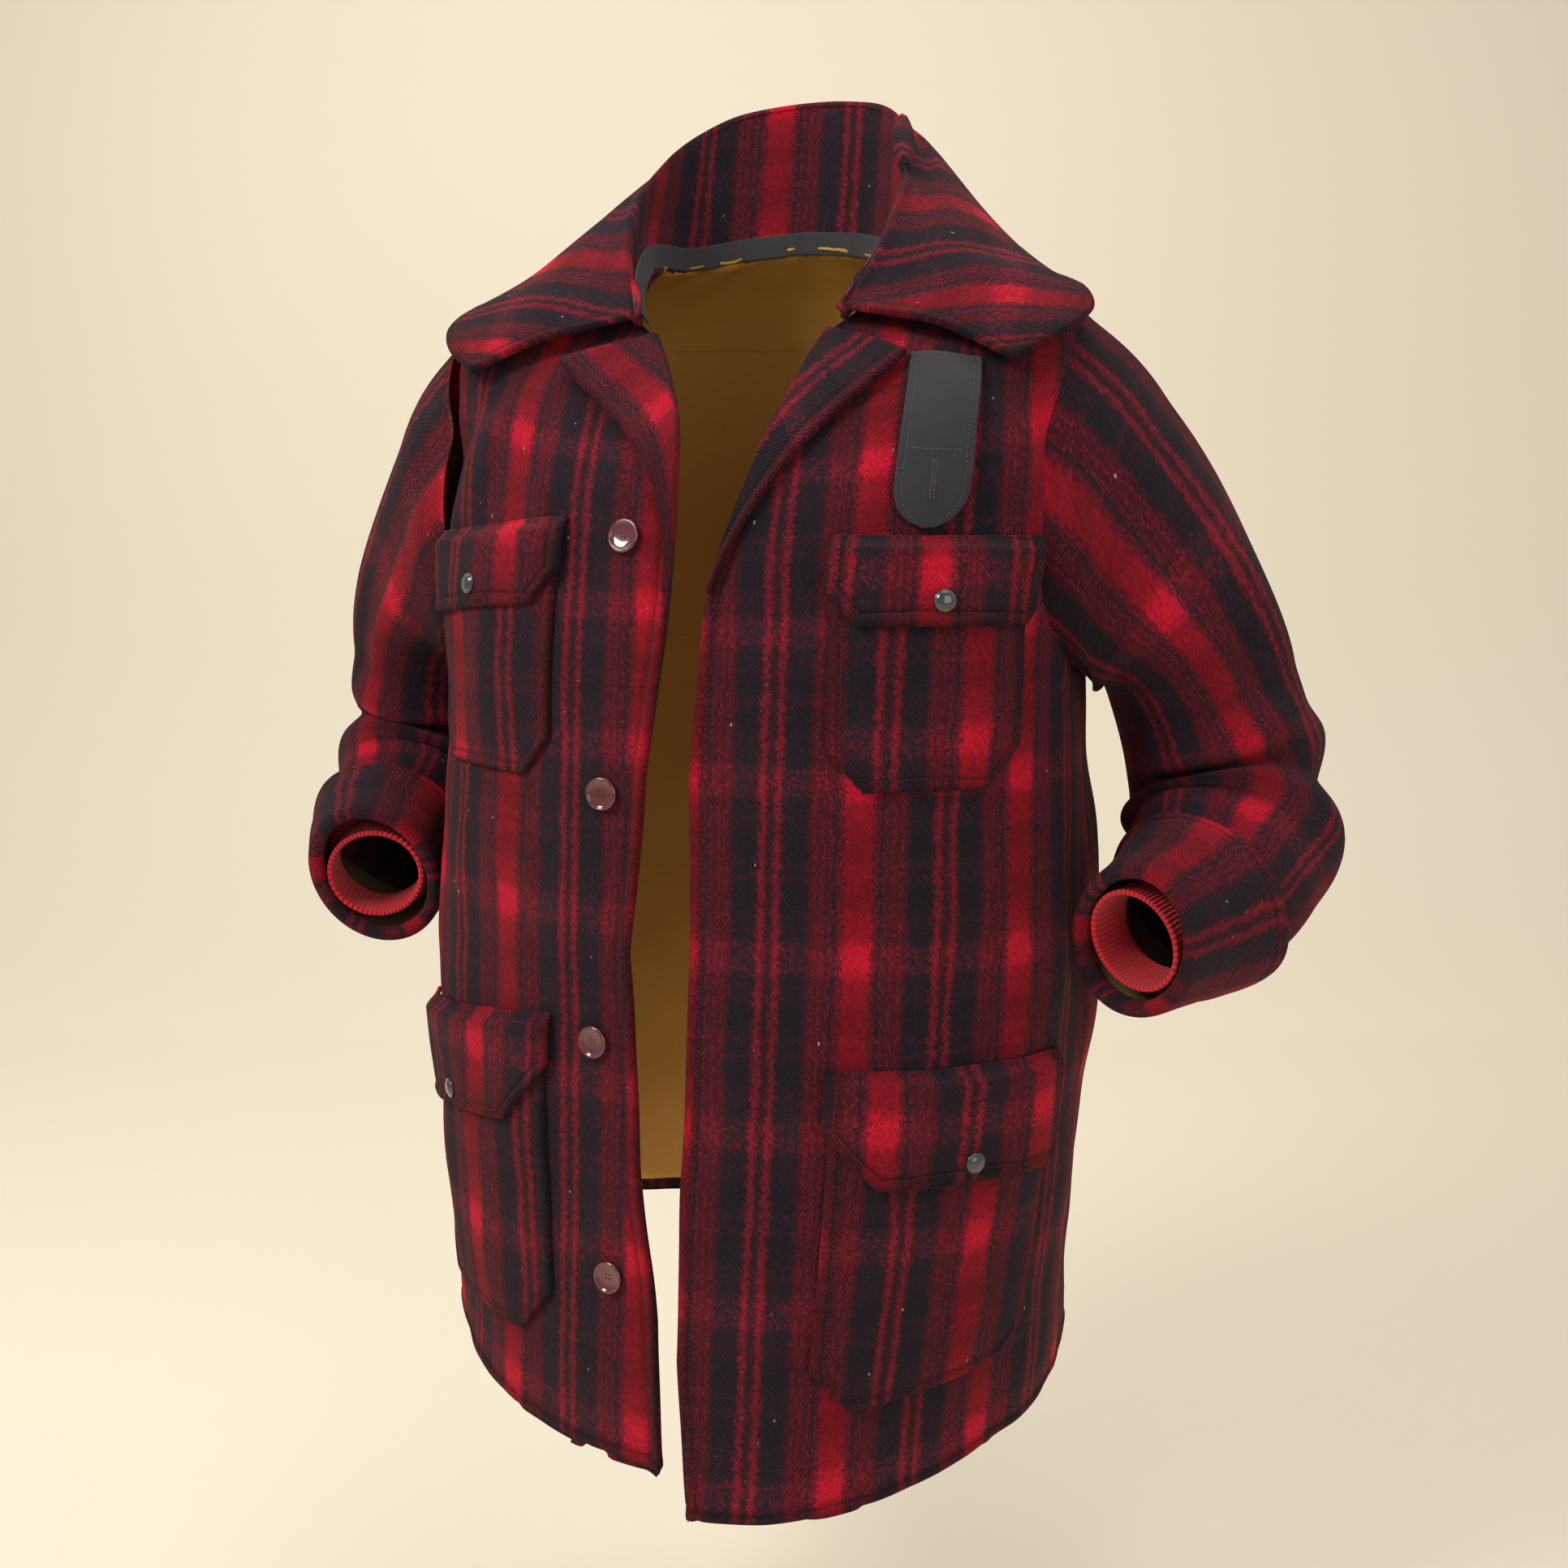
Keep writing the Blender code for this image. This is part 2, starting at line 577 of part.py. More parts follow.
def sleeve_surface(side, along, around, out=0.0):
    """Point of a sleeve, drawn as on the left: an oval tube that grows out of the armhole.

    along is 0 at the armhole and 1 at the opening; around is 0 on the outer side and a
    quarter turn at the front. Past 1 the tube runs straight on.
    """
    along, around = np.broadcast_arrays(np.asarray(along, float), np.asarray(around, float))
    inside = np.minimum(along, 1.0)
    values = sleeve_axis(side, inside)
    forward, outward, across = sleeve_frames(side, inside)
    length = SLEEVE_LENGTHS[side]
    centre = values[..., :3] + forward * ((along - inside) * length)[..., None]
    fold = sleeve_fold(inside, around)
    reach = (values[..., 3] + out + fold) * np.cos(around)
    cross = (values[..., 4] + out + fold) * np.sin(around)
    tube = centre + outward * reach[..., None] + across * cross[..., None]
    start = armhole_point(around)
    start_way = unit(start - sleeve_axis(side, 0.0)[:3])
    grown = start + start_way * np.asarray(out)[..., None] + forward * (inside * length)[..., None]
    grown = grown + np.array([0.0006, 0.0, 0.0])
    mix = ease(inside / SLEEVE_BLEND)[..., None]
    return grown * (1 - mix) + tube * mix


def path_length(side):
    """Length of a sleeve's axis."""
    points = sleeve_axis(side, np.linspace(0, 1, 400))[:, :3]
    return float(np.sum(np.linalg.norm(np.diff(points, axis=0), axis=1)))


SLEEVE_LENGTHS = {1: path_length(1), -1: path_length(-1)}


def side_points(points, side):
    """Sleeve points on their own side of the body, whose right side is fuller."""
    moved = flipped(points, side)
    if side < 0:
        moved = moved + moved * np.array([RIGHT_FULL, 0.0, 0.0]) * ease(-moved[..., :1] / 0.2)
    return moved


def add_sleeves():
    """Sleeves with turned-back cuffs, the lining inside the opening and the knitted cuffs."""
    around = np.linspace(0, 2 * math.pi, SLEEVE_ROUND, endpoint=False)[None, :]
    for side, name in ((1, "left"), (-1, "right")):
        inside_cuff = 1 - (CUFF_INSIDE + 0.001) / SLEEVE_LENGTHS[side]
        end = 1 - SLEEVE_END_BACK / SLEEVE_LENGTHS[side]
        along = np.append(np.linspace(0, inside_cuff, SLEEVE_ALONG + 1), end)[:, None]
        outer = side_points(sleeve_surface(side, along, around), side)
        inner = side_points(sleeve_surface(side, along, around, -WOOL), side)
        add_wall("sleeve_" + name, outer, inner, "wool", True)
        add_cuff(name, side, around)
        add_sleeve_lining(name, side, along[-5:-1], around)
        add_storm_cuff(name, side)


def add_cuff(name, side, around):
    """Turned-back cuff: a band whose section is a hook round the end of the sleeve."""
    gap = WOOL + LAY
    mouth = 0.0035
    back = CUFF_DEPTH
    profile = (
        (back, LAY + WOOL + CUFF_FLARE),
        (back * 0.66, LAY + WOOL + CUFF_FLARE * 0.75),
        (back * 0.33, LAY + WOOL + CUFF_FLARE * 0.4),
        (0.004, LAY + WOOL + 0.001),
        (-mouth * 0.4, 0.0012),
        (-mouth * 0.6, -0.0020),
        (-mouth * 0.2, -gap - WOOL * 0.6),
        (0.005, -gap - WOOL),
        (CUFF_INSIDE, -gap - WOOL),
        (CUFF_INSIDE, -gap),
        (0.0045, -gap),
        (0.0024, -gap * 0.5),
        (0.0030, LAY * 1.2),
        (back * 0.33, LAY + CUFF_FLARE * 0.4),
        (back * 0.66, LAY + CUFF_FLARE * 0.75),
        (back, LAY + CUFF_FLARE),
    )
    length = SLEEVE_LENGTHS[side]
    loops = [sleeve_surface(side, 1 - reach / length, around[0], out) for reach, out in profile]
    add_ring("cuff_" + name, side_points(np.array(loops), side), "wool")


def add_sleeve_lining(name, side, along, around):
    """Lining tube inside the sleeve, as far in as it shows."""
    top = -(WOOL + LAY)
    outer = side_points(sleeve_surface(side, along, around, top), side)
    inner = side_points(sleeve_surface(side, along, around, top - LINING), side)
    add_wall("sleeve_lining_" + name, outer, inner, "sleeve_lining", True)


def add_storm_cuff(name, side):
    """Ribbed knitted cuff: a narrow tube whose root flares out to the lining."""
    count = STORM_RIBS * 2
    around = np.linspace(0, 2 * math.pi, count, endpoint=False)[None, :]
    reach = np.array([0.064, 0.046, 0.006])[:, None]
    along = 1 - reach / SLEEVE_LENGTHS[side]
    wide = sleeve_surface(side, along, around, -(WOOL + LINING + 2.8 * LAY))
    centre = sleeve_axis(side, along)[..., :3]
    spoke = wide - centre
    full = np.linalg.norm(spoke, axis=-1, keepdims=True)
    narrow = ease((0.066 - reach) / 0.022)[..., None]
    radius = full * (1 - narrow) + STORM_CUFF_RADIUS * narrow
    ribs = STORM_RIB_RISE * np.cos(around * STORM_RIBS)[..., None] * narrow
    outer = side_points(centre + unit(spoke) * (radius + ribs), side)
    inner = side_points(centre + unit(spoke) * (radius - STORM_CUFF_WALL), side)
    add_wall("storm_cuff_" + name, outer, inner, "knit", True)


def collar_profile(place):
    """Cross-sections of the collar at each place from centre back (0) to a front end (1)."""
    values = through(COLLAR_SECTIONS, np.abs(place) * (len(COLLAR_SECTIONS) - 1))
    values = values * np.where(np.arange(9) % 3 == 0, np.sign(place + 1e-9)[:, None], 1.0)
    seam, roll, edge = values[:, 0:3], values[:, 3:6], values[:, 6:9]
    leaf = unit(edge - roll)
    stand = unit(roll - seam)
    height = np.linalg.norm(roll - seam, axis=1, keepdims=True)
    turn_in = np.minimum(COLLAR_ROLL, 0.45 * height)
    bulge_way = unit(stand - leaf * np.sum(stand * leaf, 1, keepdims=True))
    middle = (roll + edge) / 2 + bulge_way * COLLAR_BULGE
    rows = np.stack([
        seam,
        (seam + roll) / 2,
        roll - stand * turn_in,
        roll + leaf * turn_in * 0.45,
        roll + leaf * turn_in * 2.0 - stand * turn_in * 0.15,
        (roll + middle) / 2 + bulge_way * COLLAR_BULGE * 0.3,
        middle,
        edge,
    ])
    return rows


def collar_pull(points):
    """The collar follows the body: fuller on the right and drawn to the left at the throat."""
    pull = ease((points[..., 2] - PULL_LOW_Z) / (PULL_HIGH_Z - PULL_LOW_Z))
    pull = pull * ease(-points[..., 1] / PULL_DEPTH)
    x = points[..., 0]
    shift = THROAT_PULL * pull + RIGHT_FULL * x * ease(-x / 0.2)
    return points + np.stack([shift, 0 * pull, 0 * pull], -1)


def lifted_clear(points, clear):
    """Points moved out so that each stays this far above the body cloth."""
    turn = np.linspace(-math.pi, math.pi, 241)[:, None]
    level = np.linspace(7.0, TOP_LEVEL, 61)[None, :]
    skin, out_way = body_surface(turn, level)
    skin = skin.reshape(-1, 3)
    out_way = out_way.reshape(-1, 3)
    flat = points.reshape(-1, 3).copy()
    clear = np.broadcast_to(clear, points.shape[:-1]).reshape(-1)
    for number, point in enumerate(flat):
        nearest = np.argmin(np.sum((skin - point) ** 2, 1))
        height = np.dot(point - skin[nearest], out_way[nearest])
        if height < clear[number]:
            flat[number] = point + out_way[nearest] * (clear[number] - height)
    return flat.reshape(points.shape)


def add_collar():
    """Collar: stand and leaf in one double layer that rolls over at its crown."""
    places = np.linspace(-1, 1, 23)
    rows = collar_profile(places)
    steps = np.array([0, 1.0, 1.8, 2.4, 3.0, 3.6, 4.4, 5.2, 6.1, 7.0])
    flat = through(rows.reshape(len(rows), -1), steps)
    top = flat.reshape(len(steps), len(places), 3)
    round_ends = 1 - 0.10 * np.maximum(np.abs(places) - 0.86, 0) / 0.14
    top[-1] = top[-4] + (top[-1] - top[-4]) * round_ends[:, None]
    top = collar_pull(top)
    clear = COLLAR_CLEAR + COLLAR_OVER_LAPEL * ease((np.abs(places) - 0.62) / 0.2)
    clear = np.where((steps >= 3.0)[:, None], clear[None, :], -1.0)
    top = lifted_clear(top, clear)
    along = np.gradient(top, axis=1)
    over = np.gradient(top, axis=0)
    under = unit(np.cross(over, along))
    if under[-2, 11, 2] > 0:
        under = -under
    top[0] = top[0] + np.array([0, 0, COLLAR_SEAM_LIFT])
    add_wall("collar", top, top + under * DOUBLE_WOOL, "wool")


def solve_front(side, distance, z):
    """Turn and level of the point at this distance round from the centre line and this height."""
    distance = np.asarray(distance, float)
    z = np.asarray(z, float)
    distance, z = np.broadcast_arrays(distance, z)
    turns = np.linspace(0, math.pi / 2, 181)
    levels = np.linspace(0, TOP_LEVEL, 241)
    points = body_form(side * turns[None, :], levels[:, None])
    steps = np.linalg.norm(np.diff(points, axis=1), axis=2)
    lengths = np.concatenate([np.zeros((len(levels), 1)), np.cumsum(steps, axis=1)], axis=1)
    turn = np.full(distance.shape, 0.5)
    level = np.full(distance.shape, 5.0)
    flat_turn, flat_level = turn.reshape(-1), level.reshape(-1)
    for number, (want, height) in enumerate(zip(distance.reshape(-1), z.reshape(-1))):
        found_turn, found_level = 0.5, 5.0
        for _ in range(6):
            column = min(int(round(found_turn / turns[1])), 180)
            found_level = np.interp(height, points[:, column, 2], levels)
            row = int(round(found_level / levels[1]))
            found_turn = np.interp(want, lengths[row], turns)
        flat_turn[number], flat_level[number] = found_turn, found_level
    return flat_turn.reshape(distance.shape), flat_level.reshape(distance.shape)


def patch_grid(side, inner, outer, top_in, top_out, bottom_in, bottom_out, corner_in, corner_out,
               rows, columns):
    """Grid of a patch with its lower corners cut off, in distances and heights on a front.

    The rows run down and crowd at the corners; down is 0 at the top edge and 1 at the bottom.
    """
    tall = top_in - bottom_in
    corner = max(corner_in, corner_out) / tall
    down = np.concatenate([np.linspace(0, 1 - corner, rows), np.linspace(1 - corner, 1, 4)[1:]])
    left_over = np.maximum(down - (1 - corner_in / tall), 0) * tall
    right_over = np.maximum(down - (1 - corner_out / tall), 0) * tall
    across = np.linspace(0, 1, columns)[None, :]
    low = (inner + left_over * 0.9)[:, None]
    high = (outer - right_over * 0.9)[:, None]
    distance = low + (high - low) * across
    share = (distance - inner) / (outer - inner)
    top = top_in + (top_out - top_in) * share
    bottom = bottom_in + (bottom_out - bottom_in) * share
    z = top + (bottom - top) * down[:, None]
    turn, level = solve_front(side, distance, z)
    return side * turn, level, down[:, None], np.clip(share, 0, 1)


def add_pockets():
    """Patch pockets: a wall that lies on the front at its sewn edges and stands off between."""
    for name, side, inner, outer, top_in, top_out, low_in, low_out, cut_in, cut_out, puff in POCKETS:
        turn, level, down, across = patch_grid(
            side, inner, outer, top_in, top_out, low_in, low_out, cut_in, cut_out, 6, 6)
        swell = puff * np.sin(math.pi * across) ** 0.7 * np.sin(math.pi * (0.12 + 0.88 * down)) ** 0.7
        inside, out_way = body_surface(turn, level, PATCH_LAY + swell)
        add_wall(name, inside + out_way * WOOL, inside, "wool")


def flap_grid(side, inner, outer, top_in, top_out, depth, cut_in, cut_out, puff, rows, columns):
    """Inner surface of a flap, which starts on the front and passes over its pocket."""
    turn, level, down, across = patch_grid(
        side, inner, outer, top_in, top_out, top_in - depth, top_out - depth, cut_in, cut_out,
        rows, columns)
    over = ease(down * depth / FLAP_SEWN)
    lift = PATCH_LAY + over * (WOOL + PATCH_LAY + puff * np.sin(math.pi * across) ** 0.5)
    return body_surface(turn, level, lift)


def add_flaps_and_snaps():
    """Pocket flaps, each with a domed snap near its lower edge."""
    for name, side, inner, outer, top_in, top_out, depth, cut_in, cut_out, puff in FLAPS:
        inside, out_way = flap_grid(
            side, inner, outer, top_in, top_out, depth, cut_in, cut_out, puff, 4, 7)
        top = inside + out_way * WOOL
        add_wall(name, top, inside, "wool")
        height = (top_in + top_out) / 2 - depth + SNAP_UP
        middle = 3
        heights = top[:, middle, 2]
        row = int(np.argmin(np.abs(heights - height)))
        add_turned(name.replace("flap", "snap"), top[row, middle], out_way[row, middle],
                   snap_profile(), 12, "snap")


def snap_profile():
    """Radius and height of a snap's cap, from its back edge over the dome."""
    return ((0.0, 0.0005), (SNAP_RADIUS * 0.9, 0.0005), (SNAP_RADIUS, 0.0010),
            (SNAP_RADIUS * 0.93, SNAP_RISE * 0.55), (SNAP_RADIUS * 0.6, SNAP_RISE * 0.9),
            (0.0, SNAP_RISE))


def button_profile():
    """Radius and height of a button with a raised rim and a dished middle."""
    edge = BUTTON_RADIUS
    return ((0.0, 0.0016), (edge * 0.55, 0.0016), (edge * 0.9, 0.0020), (edge, 0.0030),
            (edge * 0.96, BUTTON_THICK + 0.0006), (edge * 0.84, BUTTON_THICK + 0.0008),
            (edge * 0.70, BUTTON_THICK - 0.0004), (edge * 0.35, BUTTON_THICK - 0.0006),
            (0.0, BUTTON_THICK - 0.0005))


def add_turned(name, place, out_way, profile, around, finish):
    """Round piece turned about its axis from a profile that starts and ends on the axis."""
    out_way = unit(np.asarray(out_way))
    side_way = unit(np.cross(out_way, np.array([0.0, 0.0, 1.0])))
    up_way = np.cross(side_way, out_way)
    points = [place + out_way * profile[0][1]]
    for radius, height in profile[1:-1]:
        for step in range(around):
            angle = 2 * math.pi * step / around
            spoke = side_way * math.cos(angle) + up_way * math.sin(angle)
            points.append(place + spoke * radius + out_way * height)
    points.append(place + out_way * profile[-1][1])
    rings = len(profile) - 2
    faces = []
    for step in range(around):
        after = (step + 1) % around
        faces.append((0, 1 + after, 1 + step))
        for ring in range(rings - 1):
            low = 1 + ring * around
            faces.append((low + step, low + after, low + around + after, low + around + step))
        last = 1 + (rings - 1) * around
        faces.append((last + step, last + after, len(points) - 1))
    add_solid(name, points, faces, finish)


def add_buttons():
    """Four buttons down the right front, a little in from its edge."""
    levels = np.linspace(0, TOP_LEVEL, 1201)
    for number, (z, away, lift) in enumerate(BUTTONS, 1):
        level = np.interp(z, through(BODY_SECTIONS, levels)[:, 4], levels)
        place, out_way = body_surface(-turn_of_x(level, away), level, lift)
        add_turned("button_%d" % number, place, out_way, button_profile(), 12, "button")


def add_throat_tab():
    """Throat tab: a round-ended cotton strap that hangs from under the collar."""
    down = np.array([0, 0.25, 0.5, 0.68, 0.80, 0.88, 0.94, 0.98, 1.0])
    radius = TAB_WIDTH / 2
    tall = TAB_TOP_Z - TAB_BOTTOM_Z
    beyond = np.maximum(down * tall - (tall - radius), 0)
    half = np.sqrt(np.maximum(radius ** 2 - beyond ** 2, (0.25 * radius) ** 2))
    across = np.linspace(-1, 1, 7)[None, :]
    distance = TAB_INNER + radius + half[:, None] * across
    z = (TAB_TOP_Z - tall * down)[:, None]
    turn, level = solve_front(1, distance, z * np.ones((1, 7)))
    lift = 0.0004 + 0.004 * np.sin(math.pi * down[:, None]) + 0.002 * down[:, None]
    inside, out_way = body_surface(turn, level, lift)
    add_wall("throat_tab", inside + out_way * TAB_THICK, inside, "tape")


def add_neck_binding():
    """Tape that covers the neck seam inside the collar."""
    places = np.linspace(-0.97, 0.97, 25)
    values = through(COLLAR_SECTIONS, np.abs(places) * (len(COLLAR_SECTIONS) - 1))
    values = values * np.where(np.arange(9) % 3 == 0, np.sign(places + 1e-9)[:, None], 1.0)
    seam, roll = values[:, 0:3], values[:, 3:6]
    up = unit(roll - seam)
    along = unit(np.gradient(seam, axis=0))
    inward = unit(np.cross(along, up))
    centre = np.array([0.0, -0.01, 0.05])
    inward = inward * np.sign(np.sum((centre - seam) * inward, 1, keepdims=True))
    steps = np.array([0.16, 0.5, 0.95])[:, None, None]
    back = seam[None] + up[None] * BINDING_WIDTH * steps + inward[None] * (LAY * 1.2)
    back = back + inward[None] * np.array([0.0006, 0.0006, 0.0006])[:, None, None]
    front = back + inward[None] * BINDING_THICK
    add_wall("neck_binding", collar_pull(front), collar_pull(back), "tape")


def main():
    """Empty the scene and build every piece of the jacket."""
    for old in list(bpy.data.objects):
        bpy.data.objects.remove(old)
    add_back()
    add_fronts()
    add_lapels()
    add_sleeves()
    add_collar()
    add_neck_binding()
    add_pockets()
    add_flaps_and_snaps()
    add_buttons()
    add_throat_tab()


main()
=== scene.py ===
"""Looks of the wool mackinaw jacket, in the frame of its solids.

Metres, +Z up. The wearer faces -Y and the wearer's left is +X. Every piece of cloth is a grid
over two parameters, read from the same tables as its solid:
    body(turn, level)   = superellipse of the level's section + outward * folds(turn, z)
    sleeve(along, around) = centre(along) + outward * a(along) * cos(around)
                                          + across * b(along) * sin(around)
and a wall of cloth is that surface, the same surface moved in by the cloth's thickness, and
the rim that joins them.
"""

import math

import bpy
import numpy as np
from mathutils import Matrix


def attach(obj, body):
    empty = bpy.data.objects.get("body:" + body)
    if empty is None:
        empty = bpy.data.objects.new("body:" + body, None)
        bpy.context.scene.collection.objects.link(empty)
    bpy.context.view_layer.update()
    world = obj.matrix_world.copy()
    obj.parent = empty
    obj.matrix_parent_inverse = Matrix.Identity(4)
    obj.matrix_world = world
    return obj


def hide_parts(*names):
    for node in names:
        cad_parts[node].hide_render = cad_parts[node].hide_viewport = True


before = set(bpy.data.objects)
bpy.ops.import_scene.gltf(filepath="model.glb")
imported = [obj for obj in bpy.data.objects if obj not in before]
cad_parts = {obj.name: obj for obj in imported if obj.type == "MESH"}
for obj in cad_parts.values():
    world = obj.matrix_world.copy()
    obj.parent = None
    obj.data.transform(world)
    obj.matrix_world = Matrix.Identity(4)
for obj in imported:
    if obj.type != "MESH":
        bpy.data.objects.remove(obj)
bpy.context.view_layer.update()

# Cloth and gaps
WOOL = 0.0030
DOUBLE_WOOL = 0.0050
LINING = 0.0012
FACING = 0.0026
SEAM = 0.0004
LAY = 0.0005
PATCH_LAY = 0.0010

# Sections of the body, from the hem up to the neckline
SECTION_COLUMNS = ("half_width", "front_depth", "back_depth", "side_z", "front_z", "back_z", "power")
BODY_SECTIONS = (
    (0.242, 0.238, 0.186, -0.775, -0.806, -0.785, 2.20),
    (0.245, 0.228, 0.184, -0.690, -0.705, -0.697, 2.20),
    (0.251, 0.219, 0.182, -0.585, -0.592, -0.590, 2.25),
    (0.260, 0.211, 0.179, -0.480, -0.483, -0.482, 2.30),
    (0.255, 0.205, 0.174, -0.385, -0.385, -0.385, 2.35),
    (0.243, 0.199, 0.168, -0.295, -0.295, -0.293, 2.40),
    (0.240, 0.191, 0.164, -0.205, -0.213, -0.203, 2.45),
    (0.244, 0.178, 0.158, -0.110, -0.137, -0.110, 2.45),
    (0.246, 0.158, 0.149, -0.027, -0.080, -0.033, 2.40),
    (0.232, 0.138, 0.133, 0.022, -0.046, 0.020, 2.30),
    (0.186, 0.117, 0.112, 0.046, -0.020, 0.052, 2.20),
    (0.134, 0.102, 0.091, 0.059, -0.001, 0.071, 2.10),
    (0.090, 0.090, 0.074, 0.066, 0.014, 0.084, 2.00),
)

# The wearer's right side hangs fuller and its hem higher; the throat is drawn to the left
RIGHT_FULL = 0.05
RIGHT_HEM_LIFT = 0.020
THROAT_PULL = 0.008
PULL_LOW_Z = -0.20
PULL_HIGH_Z = -0.04
PULL_DEPTH = 0.10

# The wearer's left front swings forward towards its hem corner
LEFT_SWING = 0.024
SWING_TOP_Z = -0.36
SWING_TURN = 1.1

# Front edges: distance of each edge from the centre line, by height
EDGE_COLUMNS = ("z", "left_front", "right_front")
FRONT_EDGES = (
    (-0.80, 0.023, 0.007),
    (-0.70, 0.012, 0.013),
    (-0.58, 0.009, 0.029),
    (-0.42, 0.009, 0.039),
    (-0.30, 0.006, 0.028),
    (-0.20, 0.012, 0.016),
    (-0.10, 0.018, 0.008),
)

# Armhole, an oval round the side of the body form
UNDERARM_Z = -0.232
SHOULDER_TIP_Z = 0.018
ARMHOLE_FRONT = math.radians(30)
ARMHOLE_BACK = math.radians(26)

# Neckline and lapels
BREAK_Z = -0.160
GORGE_LEVEL = 10.75
GORGE_X = 0.066
NECK_FRONT_TURN = math.radians(70)
FOLD_CURVE_LEFT = 0.8
FOLD_CURVE_RIGHT = 1.6
LAPEL_TIP_X = 0.126
LAPEL_TIP_LEVEL = 9.3
LAPEL_CURVE = 2.4
LAPEL_TIP_LIFT = 0.004
FACING_WIDTH = 0.062

# Broad folds of the body cloth: where, how far in or out, and how long
BODY_FOLD_COLUMNS = ("turn_deg", "z", "out", "half_turn_deg", "half_length", "lean")
BODY_FOLDS = (
    (64.0, -0.080, -0.0050, 7.0, 0.075, -20.0),
    (50.0, -0.085, 0.0035, 7.0, 0.070, -14.0),
    (-62.0, -0.090, -0.0060, 7.0, 0.080, 20.0),
    (-47.0, -0.100, 0.0040, 7.0, 0.075, 12.0),
    (82.0, -0.420, -0.0060, 9.0, 0.100, 8.0),
    (-80.0, -0.430, -0.0070, 9.0, 0.110, -8.0),
    (66.0, -0.640, 0.0050, 12.0, 0.170, 0.0),
    (96.0, -0.650, -0.0060, 12.0, 0.170, 0.0),
    (-70.0, -0.640, 0.0050, 12.0, 0.170, 0.0),
    (-98.0, -0.640, -0.0060, 12.0, 0.170, 0.0),
    (128.0, -0.600, 0.0060, 13.0, 0.220, 4.0),
    (158.0, -0.620, -0.0050, 12.0, 0.200, 3.0),
    (186.0, -0.600, 0.0050, 14.0, 0.230, -3.0),
    (214.0, -0.620, -0.0050, 12.0, 0.200, -4.0),
    (240.0, -0.590, 0.0060, 12.0, 0.210, -5.0),
    (124.0, -0.180, -0.0045, 9.0, 0.110, 14.0),
    (236.0, -0.180, -0.0045, 9.0, 0.110, -14.0),
    (150.0, -0.300, 0.0035, 13.0, 0.120, 8.0),
    (210.0, -0.300, 0.0035, 13.0, 0.120, -8.0),
)

# Sleeves: sections after the armhole, elbow to the side and forearm coming forward
SLEEVE_COLUMNS = ("x", "y", "z", "half_out", "half_across")
LEFT_SLEEVE = (
    (0.240, 0.004, -0.106, 0.114, 0.092),
    (0.272, 0.012, -0.138, 0.096, 0.086),
    (0.305, 0.026, -0.192, 0.074, 0.080),
    (0.325, 0.040, -0.254, 0.065, 0.078),
    (0.342, 0.043, -0.312, 0.072, 0.076),
    (0.349, 0.018, -0.359, 0.076, 0.070),
    (0.338, -0.028, -0.388, 0.065, 0.063),
    (0.317, -0.070, -0.401, 0.050, 0.060),
    (0.294, -0.108, -0.409, 0.045, 0.058),
)
RIGHT_SLEEVE = (
    (0.240, 0.006, -0.106, 0.114, 0.092),
    (0.274, 0.018, -0.140, 0.092, 0.086),
    (0.300, 0.036, -0.192, 0.068, 0.079),
    (0.313, 0.052, -0.252, 0.059, 0.076),
    (0.321, 0.060, -0.308, 0.065, 0.074),
    (0.329, 0.034, -0.357, 0.068, 0.069),
    (0.322, -0.014, -0.387, 0.058, 0.062),
    (0.309, -0.060, -0.401, 0.048, 0.058),
    (0.293, -0.101, -0.409, 0.044, 0.056),
)
SLEEVES = {1: LEFT_SLEEVE, -1: RIGHT_SLEEVE}
SLEEVE_BLEND = 0.34

# Sleeve folds: place along and round the sleeve, depth and size
SLEEVE_FOLD_COLUMNS = ("along", "round_deg", "out", "half_along", "half_round_deg", "lean")
SLEEVE_FOLDS = (
    (0.50, 120.0, -0.0120, 0.040, 60.0, 0.05),
    (0.57, 150.0, 0.0090, 0.035, 60.0, 0.05),
    (0.42, 100.0, 0.0080, 0.035, 55.0, 0.04),
    (0.55, 20.0, -0.0100, 0.035, 60.0, -0.04),
    (0.62, 10.0, 0.0080, 0.035, 60.0, -0.04),
    (0.47, 10.0, 0.0070, 0.035, 55.0, -0.04),
    (0.30, 75.0, -0.0060, 0.120, 16.0, 0.00),
    (0.28, 42.0, 0.0060, 0.130, 18.0, 0.00),
    (0.26, 290.0, -0.0060, 0.120, 18.0, 0.00),
    (0.30, 250.0, 0.0050, 0.120, 20.0, 0.00),
    (0.66, 240.0, -0.0080, 0.040, 55.0, 0.03),
    (0.12, 200.0, -0.0070, 0.060, 45.0, 0.00),
)

# Turned-back cuff, lining and knitted storm cuff
CUFF_DEPTH = 0.092
CUFF_FLARE = 0.007
CUFF_INSIDE = 0.018
SLEEVE_END_BACK = 0.006
STORM_CUFF_RADIUS = 0.036
STORM_CUFF_WALL = 0.0030
STORM_RIBS = 18
STORM_RIB_RISE = 0.0012

